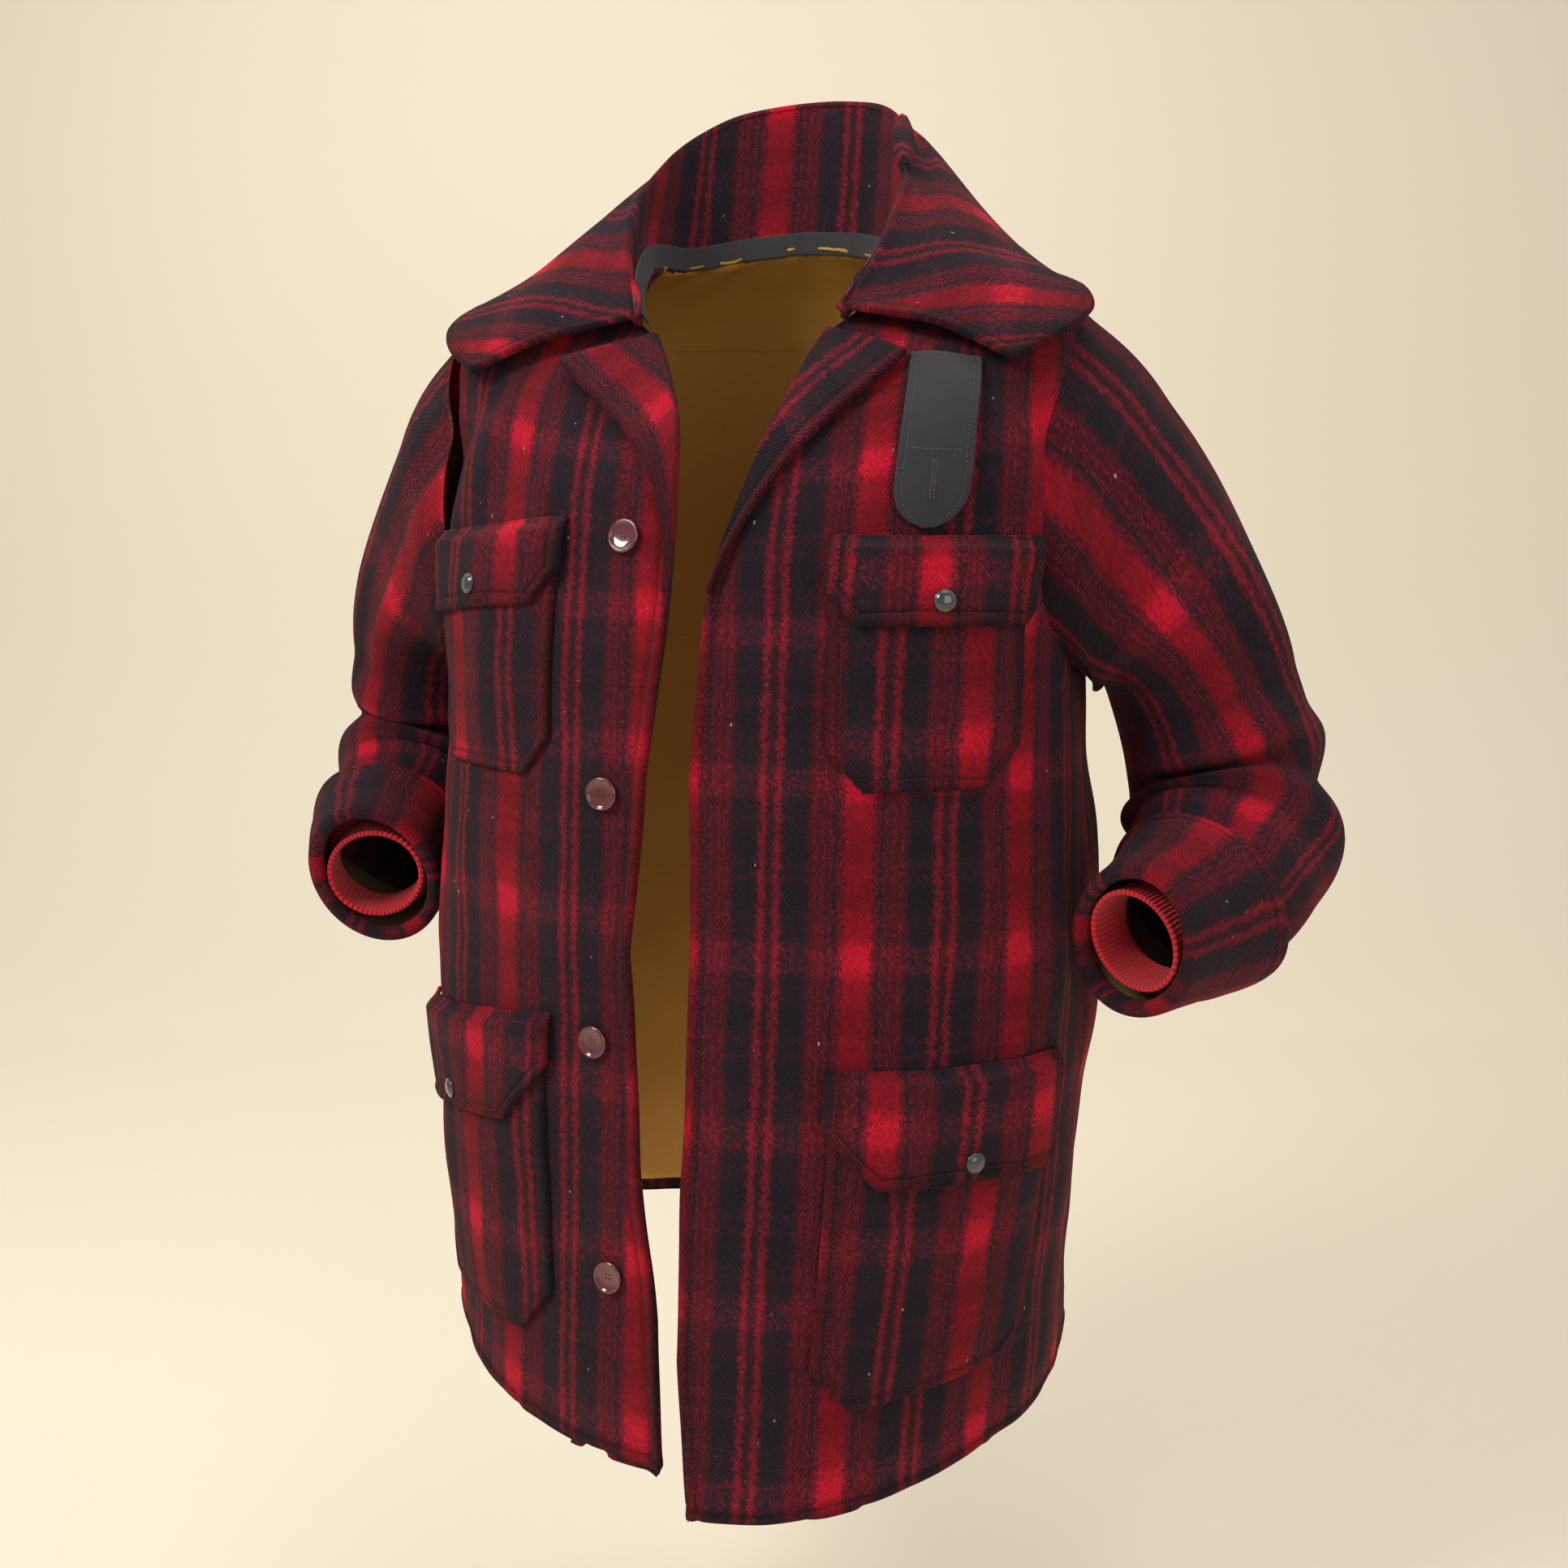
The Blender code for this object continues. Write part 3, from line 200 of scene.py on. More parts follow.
# Collar: seam on the neck, roll at its crown and outer edge, from centre back to front
COLLAR_COLUMNS = (
    "seam_x", "seam_y", "seam_z", "roll_x", "roll_y", "roll_z", "edge_x", "edge_y", "edge_z",
)
COLLAR_SECTIONS = (
    (0.000, 0.074, 0.0848, 0.000, 0.102, 0.203, 0.000, 0.136, 0.156),
    (0.045, 0.064, 0.0800, 0.054, 0.086, 0.195, 0.076, 0.124, 0.141),
    (0.079, 0.036, 0.0708, 0.088, 0.046, 0.167, 0.132, 0.092, 0.108),
    (0.091, 0.000, 0.0690, 0.099, 0.000, 0.131, 0.184, 0.044, 0.068),
    (0.088, -0.040, 0.0590, 0.099, -0.044, 0.095, 0.221, -0.008, 0.039),
    (0.084, -0.074, 0.037, 0.090, -0.080, 0.058, 0.234, -0.052, 0.012),
    (0.073, -0.098, 0.013, 0.077, -0.105, 0.020, 0.203, -0.102, -0.025),
)
COLLAR_ROLL = 0.009
COLLAR_BULGE = 0.007
COLLAR_CLEAR = 0.0105
COLLAR_OVER_LAPEL = 0.0065
COLLAR_SEAM_LIFT = 0.0012
BINDING_WIDTH = 0.014
BINDING_THICK = 0.0012

# Pockets and flaps: distances from the centre line along the cloth, and heights
POCKET_COLUMNS = ("name", "side", "inner", "outer", "top_in", "top_out", "bottom_in", "bottom_out",
                  "corner_in", "corner_out", "puff")
POCKETS = (
    ("chest_pocket_left", 1, 0.100, 0.238, -0.150, -0.150, -0.302, -0.300, 0.028, 0.028, 0.004),
    ("chest_pocket_right", -1, 0.104, 0.245, -0.138, -0.152, -0.302, -0.300, 0.028, 0.028, 0.004),
    ("hip_pocket_left", 1, 0.112, 0.284, -0.506, -0.510, -0.730, -0.712, 0.034, 0.022, 0.007),
    ("hip_pocket_right", -1, 0.108, 0.286, -0.488, -0.514, -0.714, -0.722, 0.034, 0.022, 0.007),
)
FLAP_COLUMNS = ("name", "side", "inner", "outer", "top_in", "top_out", "depth", "corner_in",
                "corner_out", "puff")
FLAPS = (
    ("chest_flap_left", 1, 0.095, 0.243, -0.134, -0.134, 0.058, 0.024, 0.010, 0.004),
    ("chest_flap_right", -1, 0.099, 0.250, -0.122, -0.136, 0.058, 0.024, 0.010, 0.004),
    ("hip_flap_left", 1, 0.107, 0.289, -0.490, -0.494, 0.078, 0.040, 0.010, 0.007),
    ("hip_flap_right", -1, 0.103, 0.291, -0.472, -0.498, 0.078, 0.040, 0.010, 0.007),
)
FLAP_SEWN = 0.010
SNAP_RADIUS = 0.0075
SNAP_RISE = 0.0034
SNAP_UP = 0.016

# Throat tab hanging from under the left side of the collar
TAB_INNER = 0.132
TAB_WIDTH = 0.050
TAB_BOTTOM_Z = -0.128
TAB_TOP_Z = -0.042
TAB_THICK = 0.0024

# Buttons on the right front: height, distance from the centre line, and lift that seats each
BUTTON_RADIUS = 0.0118
BUTTON_THICK = 0.0042
BUTTONS = ((-0.136, 0.050, -0.0021), (-0.310, 0.058, -0.0013), (-0.487, 0.064, -0.0011),
           (-0.672, 0.050, -0.0003))

DIFFERENCE = 1e-4


def through(rows, at):
    """Smooth curve through the rows of a table, read at fractional row numbers (Catmull-Rom)."""
    rows = np.asarray(rows, float)
    last = len(rows) - 1
    at = np.clip(np.asarray(at, float), 0, last)
    low = np.minimum(at.astype(int), last - 1)
    t = (at - low)[..., None]
    before = rows[np.maximum(low - 1, 0)]
    start = rows[low]
    end = rows[low + 1]
    after = rows[np.minimum(low + 2, last)]
    return 0.5 * (
        2 * start
        + (end - before) * t
        + (2 * before - 5 * start + 4 * end - after) * t ** 2
        + (3 * start - before - 3 * end + after) * t ** 3
    )


def ease(value):
    """Smooth step from 0 to 1."""
    value = np.clip(value, 0.0, 1.0)
    return value * value * (3 - 2 * value)


def unit(vectors):
    """Vectors scaled to length one."""
    length = np.linalg.norm(vectors, axis=-1, keepdims=True)
    return vectors / np.maximum(length, 1e-12)


def body_form(turn, level):
    """Point of the body form: a superellipse at each level, whose height differs at the front,
    side and back, drawn to the wearer's left at the throat and forward at the left hem."""
    turn, level = np.broadcast_arrays(np.asarray(turn, float), np.asarray(level, float))
    columns = np.moveaxis(through(BODY_SECTIONS, level), -1, 0)
    half_width, front_depth, back_depth, side_z, front_z, back_z, power = columns
    side = np.sin(turn)
    ahead = np.cos(turn)
    root = 2 / power
    x = half_width * np.sign(side) * np.abs(side) ** root
    y = -np.where(ahead > 0, front_depth, back_depth) * np.sign(ahead) * np.abs(ahead) ** root
    z = side_z + (front_z - side_z) * np.maximum(ahead, 0) ** 2
    z = z + (back_z - side_z) * np.maximum(-ahead, 0) ** 2
    pull = ease((z - PULL_LOW_Z) / (PULL_HIGH_Z - PULL_LOW_Z)) * ease(-y / PULL_DEPTH)
    x = x + THROAT_PULL * pull + RIGHT_FULL * x * ease(-x / 0.2)
    right = ease(0.5 - side * np.where(ahead > 0, 8.0, 0.6))
    z = z + RIGHT_HEM_LIFT * right * ease((-0.50 - z) / 0.25)
    near_left = ease(1 - np.abs(np.arctan2(side, ahead) - 0.15) / SWING_TURN)
    near_left = near_left * ease((side + 0.02) / 0.04)
    y = y - LEFT_SWING * ease((SWING_TOP_Z - z) / 0.44) * near_left
    return np.stack([x, y, z], -1)


def body_folds(turn, z):
    """Outward distance of the broad folds: a sum of soft ridges and troughs."""
    out = np.zeros(np.broadcast(turn, z).shape)
    for place, height, rise, half_turn, half_length, lean in BODY_FOLDS:
        along = (z - height) / half_length
        away = np.degrees(turn) - place - lean * along
        away = (away + 180) % 360 - 180
        out = out + rise * np.exp(-(away / half_turn) ** 2 - along ** 2)
    return out + unevenness(turn, z)


def unevenness(turn, z):
    """Slight waves of thick cloth: three pairs of crossing sine waves, a millimetre high."""
    broad = np.sin(9 * turn + 14 * z + 0.6) * np.sin(27 * z - 4 * turn + 1.9)
    middle = np.sin(15 * turn - 22 * z + 2.2) * np.sin(38 * z + 7 * turn)
    small = np.sin(27 * turn + 35 * z + 1.0) * np.sin(60 * z - 11 * turn + 0.4)
    return 0.0015 * broad + 0.0009 * middle + 0.0005 * small


def body_surface(turn, level, out=0.0):
    """Point and outward direction of the folded cloth, moved out along that direction."""
    turn, level = np.broadcast_arrays(np.asarray(turn, float), np.asarray(level, float))

    def folded(turn, level):
        point = body_form(turn, level)
        round_way = body_form(turn + DIFFERENCE, level) - body_form(turn - DIFFERENCE, level)
        up_way = body_form(turn, level + DIFFERENCE) - body_form(turn, level - DIFFERENCE)
        direction = unit(np.cross(round_way, up_way))
        return point + direction * body_folds(turn, point[..., 2])[..., None]

    step = 20 * DIFFERENCE
    round_way = folded(turn + step, level) - folded(turn - step, level)
    up_way = folded(turn, level + step) - folded(turn, level - step)
    direction = unit(np.cross(round_way, up_way))
    return folded(turn, level) + direction * np.asarray(out)[..., None], direction


def level_at_side(z):
    """Level whose side point lies at this height."""
    levels = np.linspace(0, len(BODY_SECTIONS) - 1, 2401)
    return np.interp(z, body_form(math.pi / 2, levels)[:, 2], levels)


TOP_LEVEL = len(BODY_SECTIONS) - 1.0
UNDERARM_LEVEL = level_at_side(UNDERARM_Z)
TIP_LEVEL = level_at_side(SHOULDER_TIP_Z)
BREAK_LEVEL = level_at_side(BREAK_Z)


def turn_at(share, power):
    """Turn at which a superellipse reaches this share of its half width."""
    return np.sign(share) * np.arcsin(np.abs(share) ** (power / 2))


def edge_x(side, level):
    """Distance of the front edge from the centre line at each level."""
    table = np.array(FRONT_EDGES)
    heights = through(BODY_SECTIONS, level)[..., 4]
    return np.interp(heights, table[:, 0], table[:, 1 if side > 0 else 2])


def fold_x(side, level):
    """Distance of the front edge below the break, and of the lapel's fold above it."""
    climb = np.clip((level - BREAK_LEVEL) / (GORGE_LEVEL - BREAK_LEVEL), 0, 1)
    edge = edge_x(side, np.minimum(level, BREAK_LEVEL))
    return edge + (GORGE_X - edge) * climb ** (FOLD_CURVE_LEFT if side > 0 else FOLD_CURVE_RIGHT)


def turn_of_x(level, x):
    """Turn of the point at this distance from the centre line on the front of a level."""
    columns = through(BODY_SECTIONS, level)
    return turn_at(x / columns[..., 0], columns[..., 6])


def front_limit(side, level):
    """Where a front begins at each level: its edge, then the lapel fold, then the neckline."""
    level = np.asarray(level, float)
    neck = np.clip((level - GORGE_LEVEL) / (TOP_LEVEL - GORGE_LEVEL), 0, 1)
    below = np.minimum(level, GORGE_LEVEL)
    limit = turn_of_x(below, fold_x(side, below))
    return limit + (NECK_FRONT_TURN - limit) * neck ** 0.8


def armhole_width(level, widest):
    """Half opening of the armhole in turn, as an oval between underarm and shoulder tip."""
    middle = (UNDERARM_LEVEL + TIP_LEVEL) / 2
    half = (TIP_LEVEL - UNDERARM_LEVEL) / 2
    inside = np.clip(1 - ((np.asarray(level) - middle) / half) ** 2, 0, 1)
    return widest * np.sqrt(inside)


def panel_levels(below, beside, above):
    """Levels of a panel's rows, closer together at both ends of the armhole."""
    wave = (1 - np.cos(np.linspace(0, math.pi, beside + 1))) / 2
    low = np.linspace(0, UNDERARM_LEVEL, below + 1)
    middle = UNDERARM_LEVEL + (TIP_LEVEL - UNDERARM_LEVEL) * wave
    high = np.linspace(TIP_LEVEL, TOP_LEVEL, above + 1)
    return np.concatenate([low, middle[1:], high[1:]])


def stretch(low, high, fractions):
    """Grid whose rows run from low to high in the given fractions."""
    return low[:, None] + (high - low)[:, None] * np.asarray(fractions)[None, :]


def flipped(points, side):
    """A grid computed on the wearer's left, or its mirror image on the right."""
    return points * np.array([side, 1.0, 1.0])


def front_turns(side, levels, fractions, start=0.0):
    """Turns of a front's grid, from its edge to the side seam, armhole and shoulder seam."""
    half_width = through(BODY_SECTIONS, levels)[:, 0]
    low = front_limit(side, levels) + start / half_width
    high = math.pi / 2 - armhole_width(levels, ARMHOLE_FRONT) - SEAM / half_width
    return stretch(low, high, fractions)


def sleeve_axis(side, along):
    """Centre and half sizes of a sleeve at fractions of its length."""
    rows = SLEEVES[side]
    return through(rows, np.asarray(along) * (len(rows) - 1))


def sleeve_frames(side, along):
    """Directions of the sleeve: forward along it, outwards from it, and across it.

    The outward direction is turned from up-and-out at the shoulder towards the back of the
    forearm, so the same line of cloth stays on the outside of the elbow.
    """
    along = np.asarray(along, float)
    step = 0.01
    forward = sleeve_axis(side, along + step) - sleeve_axis(side, along - step)
    forward = unit(forward[..., :3])
    guide_rows = ((0.75, 0.05, 0.66), (0.80, 0.20, 0.56), (0.85, 0.45, 0.10), (0.75, 0.60, 0.0),
                  (0.70, 0.70, 0.0))
    guide = through(guide_rows, np.clip(along, 0, 1) * 4)
    outward = unit(guide - forward * np.sum(guide * forward, -1, keepdims=True))
    across = np.cross(forward, outward)
    return forward, outward, across


def armhole_point(around):
    """Point and outward direction of the left armhole: around is 0 at the shoulder tip and runs to the front."""
    middle = (UNDERARM_LEVEL + TIP_LEVEL) / 2
    half = (TIP_LEVEL - UNDERARM_LEVEL) / 2
    level = middle + (half - SEAM * 30) * np.cos(around)
    wide = np.where(np.sin(around) > 0, ARMHOLE_FRONT, ARMHOLE_BACK) - 3 * SEAM / 0.2
    turn = math.pi / 2 - wide * np.sin(around)
    return body_surface(turn, level)


def sleeve_fold(along, around):
    """Outward distance of the sleeve's folds."""
    out = np.zeros(np.broadcast(along, around).shape)
    for place, angle, rise, half_along, half_round, lean in SLEEVE_FOLDS:
        away = (np.degrees(around) - angle + 180) % 360 - 180
        step = along - place - lean * away / 90
        out = out + rise * np.exp(-(step / half_along) ** 2 - (away / half_round) ** 2)
    round_whole = np.sin(2 * around + 5 * along) * np.sin(13 * along - 3 * around + 0.7)
    round_small = np.sin(4 * around - 9 * along + 1.1) * np.sin(27 * along + 2 * around)
    out = out + 0.0016 * round_whole + 0.0010 * round_small
    return out * ease(along / 0.12) * ease((1.0 - along) / 0.18)


def sleeve_surface(side, along, around, out=0.0):
    """Point of a sleeve, drawn as on the left: an oval tube that grows out of the armhole.

    along is 0 at the armhole and 1 at the opening; around is 0 on the outer side and a
    quarter turn at the front. Past 1 the tube runs straight on.
    """
    along, around = np.broadcast_arrays(np.asarray(along, float), np.asarray(around, float))
    inside = np.minimum(along, 1.0)
    values = sleeve_axis(side, inside)
    forward, outward, across = sleeve_frames(side, inside)
    length = SLEEVE_LENGTHS[side]
    centre = values[..., :3] + forward * ((along - inside) * length)[..., None]
    fold = sleeve_fold(inside, around)
    reach = (values[..., 3] + out + fold) * np.cos(around)
    cross = (values[..., 4] + out + fold) * np.sin(around)
    tube = centre + outward * reach[..., None] + across * cross[..., None]
    start = armhole_point(around)[0]
    start_way = unit(start - sleeve_axis(side, 0.0)[:3])
    grown = start + start_way * np.asarray(out)[..., None] + forward * (inside * length)[..., None]
    grown = grown + np.array([0.0006, 0.0, 0.0])
    mix = ease(inside / SLEEVE_BLEND)[..., None]
    return grown * (1 - mix) + tube * mix


def path_length(side):
    """Length of a sleeve's axis."""
    points = sleeve_axis(side, np.linspace(0, 1, 400))[:, :3]
    return float(np.sum(np.linalg.norm(np.diff(points, axis=0), axis=1)))


SLEEVE_LENGTHS = {1: path_length(1), -1: path_length(-1)}


def side_points(points, side):
    """Sleeve points on their own side of the body, whose right side is fuller."""
    moved = flipped(points, side)
    if side < 0:
        moved = moved + moved * np.array([RIGHT_FULL, 0.0, 0.0]) * ease(-moved[..., :1] / 0.2)
    return moved


def collar_profile(place):
    """Cross-sections of the collar at each place from centre back (0) to a front end (1)."""
    values = through(COLLAR_SECTIONS, np.abs(place) * (len(COLLAR_SECTIONS) - 1))
    values = values * np.where(np.arange(9) % 3 == 0, np.sign(place + 1e-9)[:, None], 1.0)
    seam, roll, edge = values[:, 0:3], values[:, 3:6], values[:, 6:9]
    leaf = unit(edge - roll)
    stand = unit(roll - seam)
    height = np.linalg.norm(roll - seam, axis=1, keepdims=True)
    turn_in = np.minimum(COLLAR_ROLL, 0.45 * height)
    bulge_way = unit(stand - leaf * np.sum(stand * leaf, 1, keepdims=True))
    middle = (roll + edge) / 2 + bulge_way * COLLAR_BULGE
    rows = np.stack([
        seam,
        (seam + roll) / 2,
        roll - stand * turn_in,
        roll + leaf * turn_in * 0.45,
        roll + leaf * turn_in * 2.0 - stand * turn_in * 0.15,
        (roll + middle) / 2 + bulge_way * COLLAR_BULGE * 0.3,
        middle,
        edge,
    ])
    return rows


def collar_pull(points):
    """The collar follows the body: fuller on the right and drawn to the left at the throat."""
    pull = ease((points[..., 2] - PULL_LOW_Z) / (PULL_HIGH_Z - PULL_LOW_Z))
    pull = pull * ease(-points[..., 1] / PULL_DEPTH)
    x = points[..., 0]
    shift = THROAT_PULL * pull + RIGHT_FULL * x * ease(-x / 0.2)
    return points + np.stack([shift, 0 * pull, 0 * pull], -1)


def look_up(grid, turn, level):
    """Bilinear reading of a grid whose rows are levels and columns are turns."""
    rows, columns = grid.shape
    at_row = np.clip(level / TOP_LEVEL * (rows - 1), 0, rows - 1.001)
    at_column = np.clip(turn / (0.5 * math.pi) * (columns - 1), 0, columns - 1.001)
    row = at_row.astype(int)
    column = at_column.astype(int)
    down, across = at_row - row, at_column - column
    low = grid[row, column] * (1 - across) + grid[row, column + 1] * across
    high = grid[row + 1, column] * (1 - across) + grid[row + 1, column + 1] * across
    return low * (1 - down) + high * down


def solve_front(side, distance, z):
    """Turn and level of the point at this distance round from the centre line and this height,
    found by steps of Newton's method on tables of distance and height."""
    distance, z = np.broadcast_arrays(np.asarray(distance, float), np.asarray(z, float))
    turns = np.linspace(0, math.pi / 2, 181)
    levels = np.linspace(0, TOP_LEVEL, 241)
    points = body_form(side * turns[None, :], levels[:, None])
    steps = np.linalg.norm(np.diff(points, axis=1), axis=2)
    lengths = np.concatenate([np.zeros((len(levels), 1)), np.cumsum(steps, axis=1)], axis=1)
    heights = points[..., 2]
    turn_slope = np.gradient(lengths, turns, axis=1)
    level_slope = np.gradient(heights, levels, axis=0)
    turn = np.full(distance.shape, 0.6)
    level = np.full(distance.shape, 5.0)
    for _ in range(30):
        miss = z - look_up(heights, turn, level)
        level = np.clip(level + 0.8 * miss / look_up(level_slope, turn, level), 0, TOP_LEVEL)
        miss = distance - look_up(lengths, turn, level)
        turn = np.clip(turn + 0.8 * miss / look_up(turn_slope, turn, level), 0.01, 1.56)
    return turn, level


def patch_grid(side, inner, outer, top_in, top_out, bottom_in, bottom_out, corner_in, corner_out,
               rows, columns, straight=0):
    """Grid of a patch with its lower corners cut off, in distances and heights on a front.

    The rows run down and crowd at the corners; down is 0 at the top edge and 1 at the bottom.
    """
    tall = top_in - bottom_in
    corner = max(corner_in, corner_out) / tall
    low_rows = straight or 4
    down = np.concatenate([
        np.linspace(0, 1 - corner, rows), np.linspace(1 - corner, 1, low_rows)[1:]])
    left_over = np.maximum(down - (1 - corner_in / tall), 0) * tall
    right_over = np.maximum(down - (1 - corner_out / tall), 0) * tall
    across = np.linspace(0, 1, columns)[None, :]
    low = (inner + left_over * 0.9)[:, None]
    high = (outer - right_over * 0.9)[:, None]
    distance = low + (high - low) * across
    share = (distance - inner) / (outer - inner)
    top = top_in + (top_out - top_in) * share
    bottom = bottom_in + (bottom_out - bottom_in) * share
    z = top + (bottom - top) * down[:, None]
    turn, level = solve_front(side, distance, z)
    return side * turn, level, down[:, None], np.clip(share, 0, 1), distance, z


def lengths_along(points, axis):
    """Distance run along one direction of a grid, from its first row or column."""
    steps = np.linalg.norm(np.diff(points, axis=axis), axis=2)
    first = np.zeros((1, points.shape[1]) if axis == 0 else (points.shape[0], 1))
    return np.concatenate([first, np.cumsum(steps, axis=axis)], axis=axis)


def make_mesh(name, points, quads, corner_uv, corner_edge, finish):
    """Closed mesh from points and quads, turned outwards: one map holds the cloth's metres at
    each corner, another its distance from the sewn edge."""
    triangles = np.concatenate([quads[:, [0, 1, 2]], quads[:, [0, 2, 3]]])
    a, b, c = (points[triangles[:, k]] for k in range(3))
    if np.sum(a * np.cross(b, c)) < 0:
        quads = quads[:, ::-1]
        corner_uv = corner_uv[:, ::-1]
        corner_edge = corner_edge[:, ::-1]
    mesh = bpy.data.meshes.new(name)
    mesh.from_pydata(points.tolist(), [], quads.tolist())
    layer = mesh.uv_layers.new(name="cloth")
    layer.data.foreach_set("uv", np.ascontiguousarray(corner_uv, dtype=np.float32).ravel())
    layer = mesh.uv_layers.new(name="edge")
    both = np.stack([corner_edge, corner_edge], -1)
    layer.data.foreach_set("uv", np.ascontiguousarray(both, dtype=np.float32).ravel())
    mesh.uv_layers["cloth"].active_render = True
    mesh.polygons.foreach_set("use_smooth", np.ones(len(quads), dtype=bool))
    mesh.materials.append(FINISHES[finish])
    mesh.update()
    piece = bpy.data.objects.new(name, mesh)
    bpy.context.scene.collection.objects.link(piece)
    return piece


def corners(index):
    """Quads of a grid of point numbers."""
    return np.stack([index[:-1, :-1], index[:-1, 1:], index[1:, 1:], index[1:, :-1]], -1)


def wall(name, outer, inner, u, v, finish, edge=None, wrap=False, swell=0.30):
    """Cloth wall between two grids of points, joined round its rim by a half-round edge:
    rim(t) = (1 - t) outer + t inner + away * swell * thickness * sin(pi t).

    u and v are the cloth's own coordinates in metres at the points of the outer grid, and edge
    its distance from the sewn edge; wrap joins the last column to the first, and then these
    have one column more than the points.
    """
    rows, columns = outer.shape[:2]
    index = np.arange(rows * columns).reshape(rows, columns)
    if wrap:
        index = np.concatenate([index, index[:, :1]], axis=1)
    wide = index.shape[1]
    edge = np.ones((rows, wide)) if edge is None else np.broadcast_to(edge, (rows, wide))
    place = np.stack([u, v, edge], -1).reshape(-1, 3)
    place_index = np.arange(rows * wide).reshape(rows, wide)
    shift = rows * columns
    front = corners(index).reshape(-1, 4)
    front_place = place[corners(place_index).reshape(-1, 4)]
    points = [outer.reshape(-1, 3), inner.reshape(-1, 3)]
    quads = [front, front[:, ::-1] + shift]
    places = [front_place, front_place[:, ::-1]]
    row_at, column_at = np.mgrid[0:rows, 0:wide]
    if wrap:
        lines = [(row_at[0], column_at[0]), (row_at[-1, ::-1], column_at[-1, ::-1])]
    else:
        def loop(grid):
            return np.concatenate([grid[0, :-1], grid[:-1, -1], grid[-1, :0:-1], grid[::-1, 0]])
        lines = [(loop(row_at), loop(column_at))]
    count = 2 * shift
    flat_outer, flat_inner = points[0], points[1]
    for at_row, at_column in lines:
        line = index[at_row, at_column]
        next_in = index[np.clip(at_row, 1, rows - 2),
                        at_column if wrap else np.clip(at_column, 1, wide - 2)]
        away = unit(flat_outer[line] - flat_outer[next_in])
        thick = np.linalg.norm(flat_outer[line] - flat_inner[line], axis=1, keepdims=True)
        before = line
        line_place = place[place_index[at_row, at_column]]
        rings = [line]
        for t in (0.25, 0.5, 0.75):
            ring = (1 - t) * flat_outer[line] + t * flat_inner[line]
            ring = ring + away * thick * swell * math.sin(math.pi * t)
            number = count + np.arange(len(line) - 1)
            number = np.append(number, number[0])
            points.append(ring[:-1])
            rings.append(number)
            count += len(line) - 1
        rings.append(line + shift)
        for before, after in zip(rings[:-1], rings[1:]):
            quads.append(np.stack([before[1:], before[:-1], after[:-1], after[1:]], -1))
            places.append(np.stack([line_place[1:], line_place[:-1], line_place[:-1],
                                    line_place[1:]], 1))
    places = np.concatenate(places)
    return make_mesh(name, np.concatenate(points), np.concatenate(quads), places[..., :2],
                     places[..., 2], finish)


def cloth_of(piece, node):
    """Attaches a cloth piece to the root body and hides the solid of its node."""
    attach(piece, "root")
    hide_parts(node)


WEFT_SHIFT = -0.018


def panel_uv(outer, first):
    """Cloth coordinates of a panel: distance round from the centre front, height up the cloth."""
    across = first[:, None] + lengths_along(outer, 1)
    up = lengths_along(outer, 0)
    up = np.broadcast_to(up.mean(1)[:, None], up.shape)
    return across, up + WEFT_SHIFT


def rim_ridge(distance):
    """Small relief beside a sewn edge: a rolled edge 1 mm proud, then the groove of its seam."""
    roll = 0.0009 * np.exp(-((distance - 0.0035) / 0.0030) ** 2)
    groove = -0.0007 * np.exp(-((distance - 0.0085) / 0.0018) ** 2)
    return roll + groove


def make_back():
    """Back in wool and its lining, from side seam to side seam."""
    levels = panel_levels(120, 60, 40)
    left = math.pi / 2 + armhole_width(levels, ARMHOLE_BACK)
    turn = stretch(left, 2 * math.pi - left, np.linspace(0, 1, 129))
    base, out_way = body_surface(turn, levels[:, None])
    low = lengths_along(base, 0)
    outer = base + out_way * rim_ridge(low)[..., None]
    u, v = panel_uv(outer, left * 0)
    u = u - u[:, 64:65]
    piece = wall("back_wool", outer, base - out_way * WOOL, u, v, "plaid", edge=low)
    cloth_of(piece, "back")
    line, facing = inset_line(outer, out_way, "low", 0.027, 0.004)
    sewn_line("back_hem", line, facing)
    every = slice(4, None, 2)
    behind = (base - out_way * (WOOL + LAY))[every, ::2]
    inner = (base - out_way * (WOOL + LAY + LINING))[every, ::2]
    open_rows = armhole_width(levels[every], 0.75)[:, None]
    for grid in (behind, inner):
        grid[:, 0] = grid[:, 0] * (1 - open_rows) + grid[:, 1] * open_rows
        grid[:, -1] = grid[:, -1] * (1 - open_rows) + grid[:, -2] * open_rows
    piece = wall("back_lining", behind, inner, u[every, ::2], v[every, ::2], "satin")
    cloth_of(piece, "lining_back")


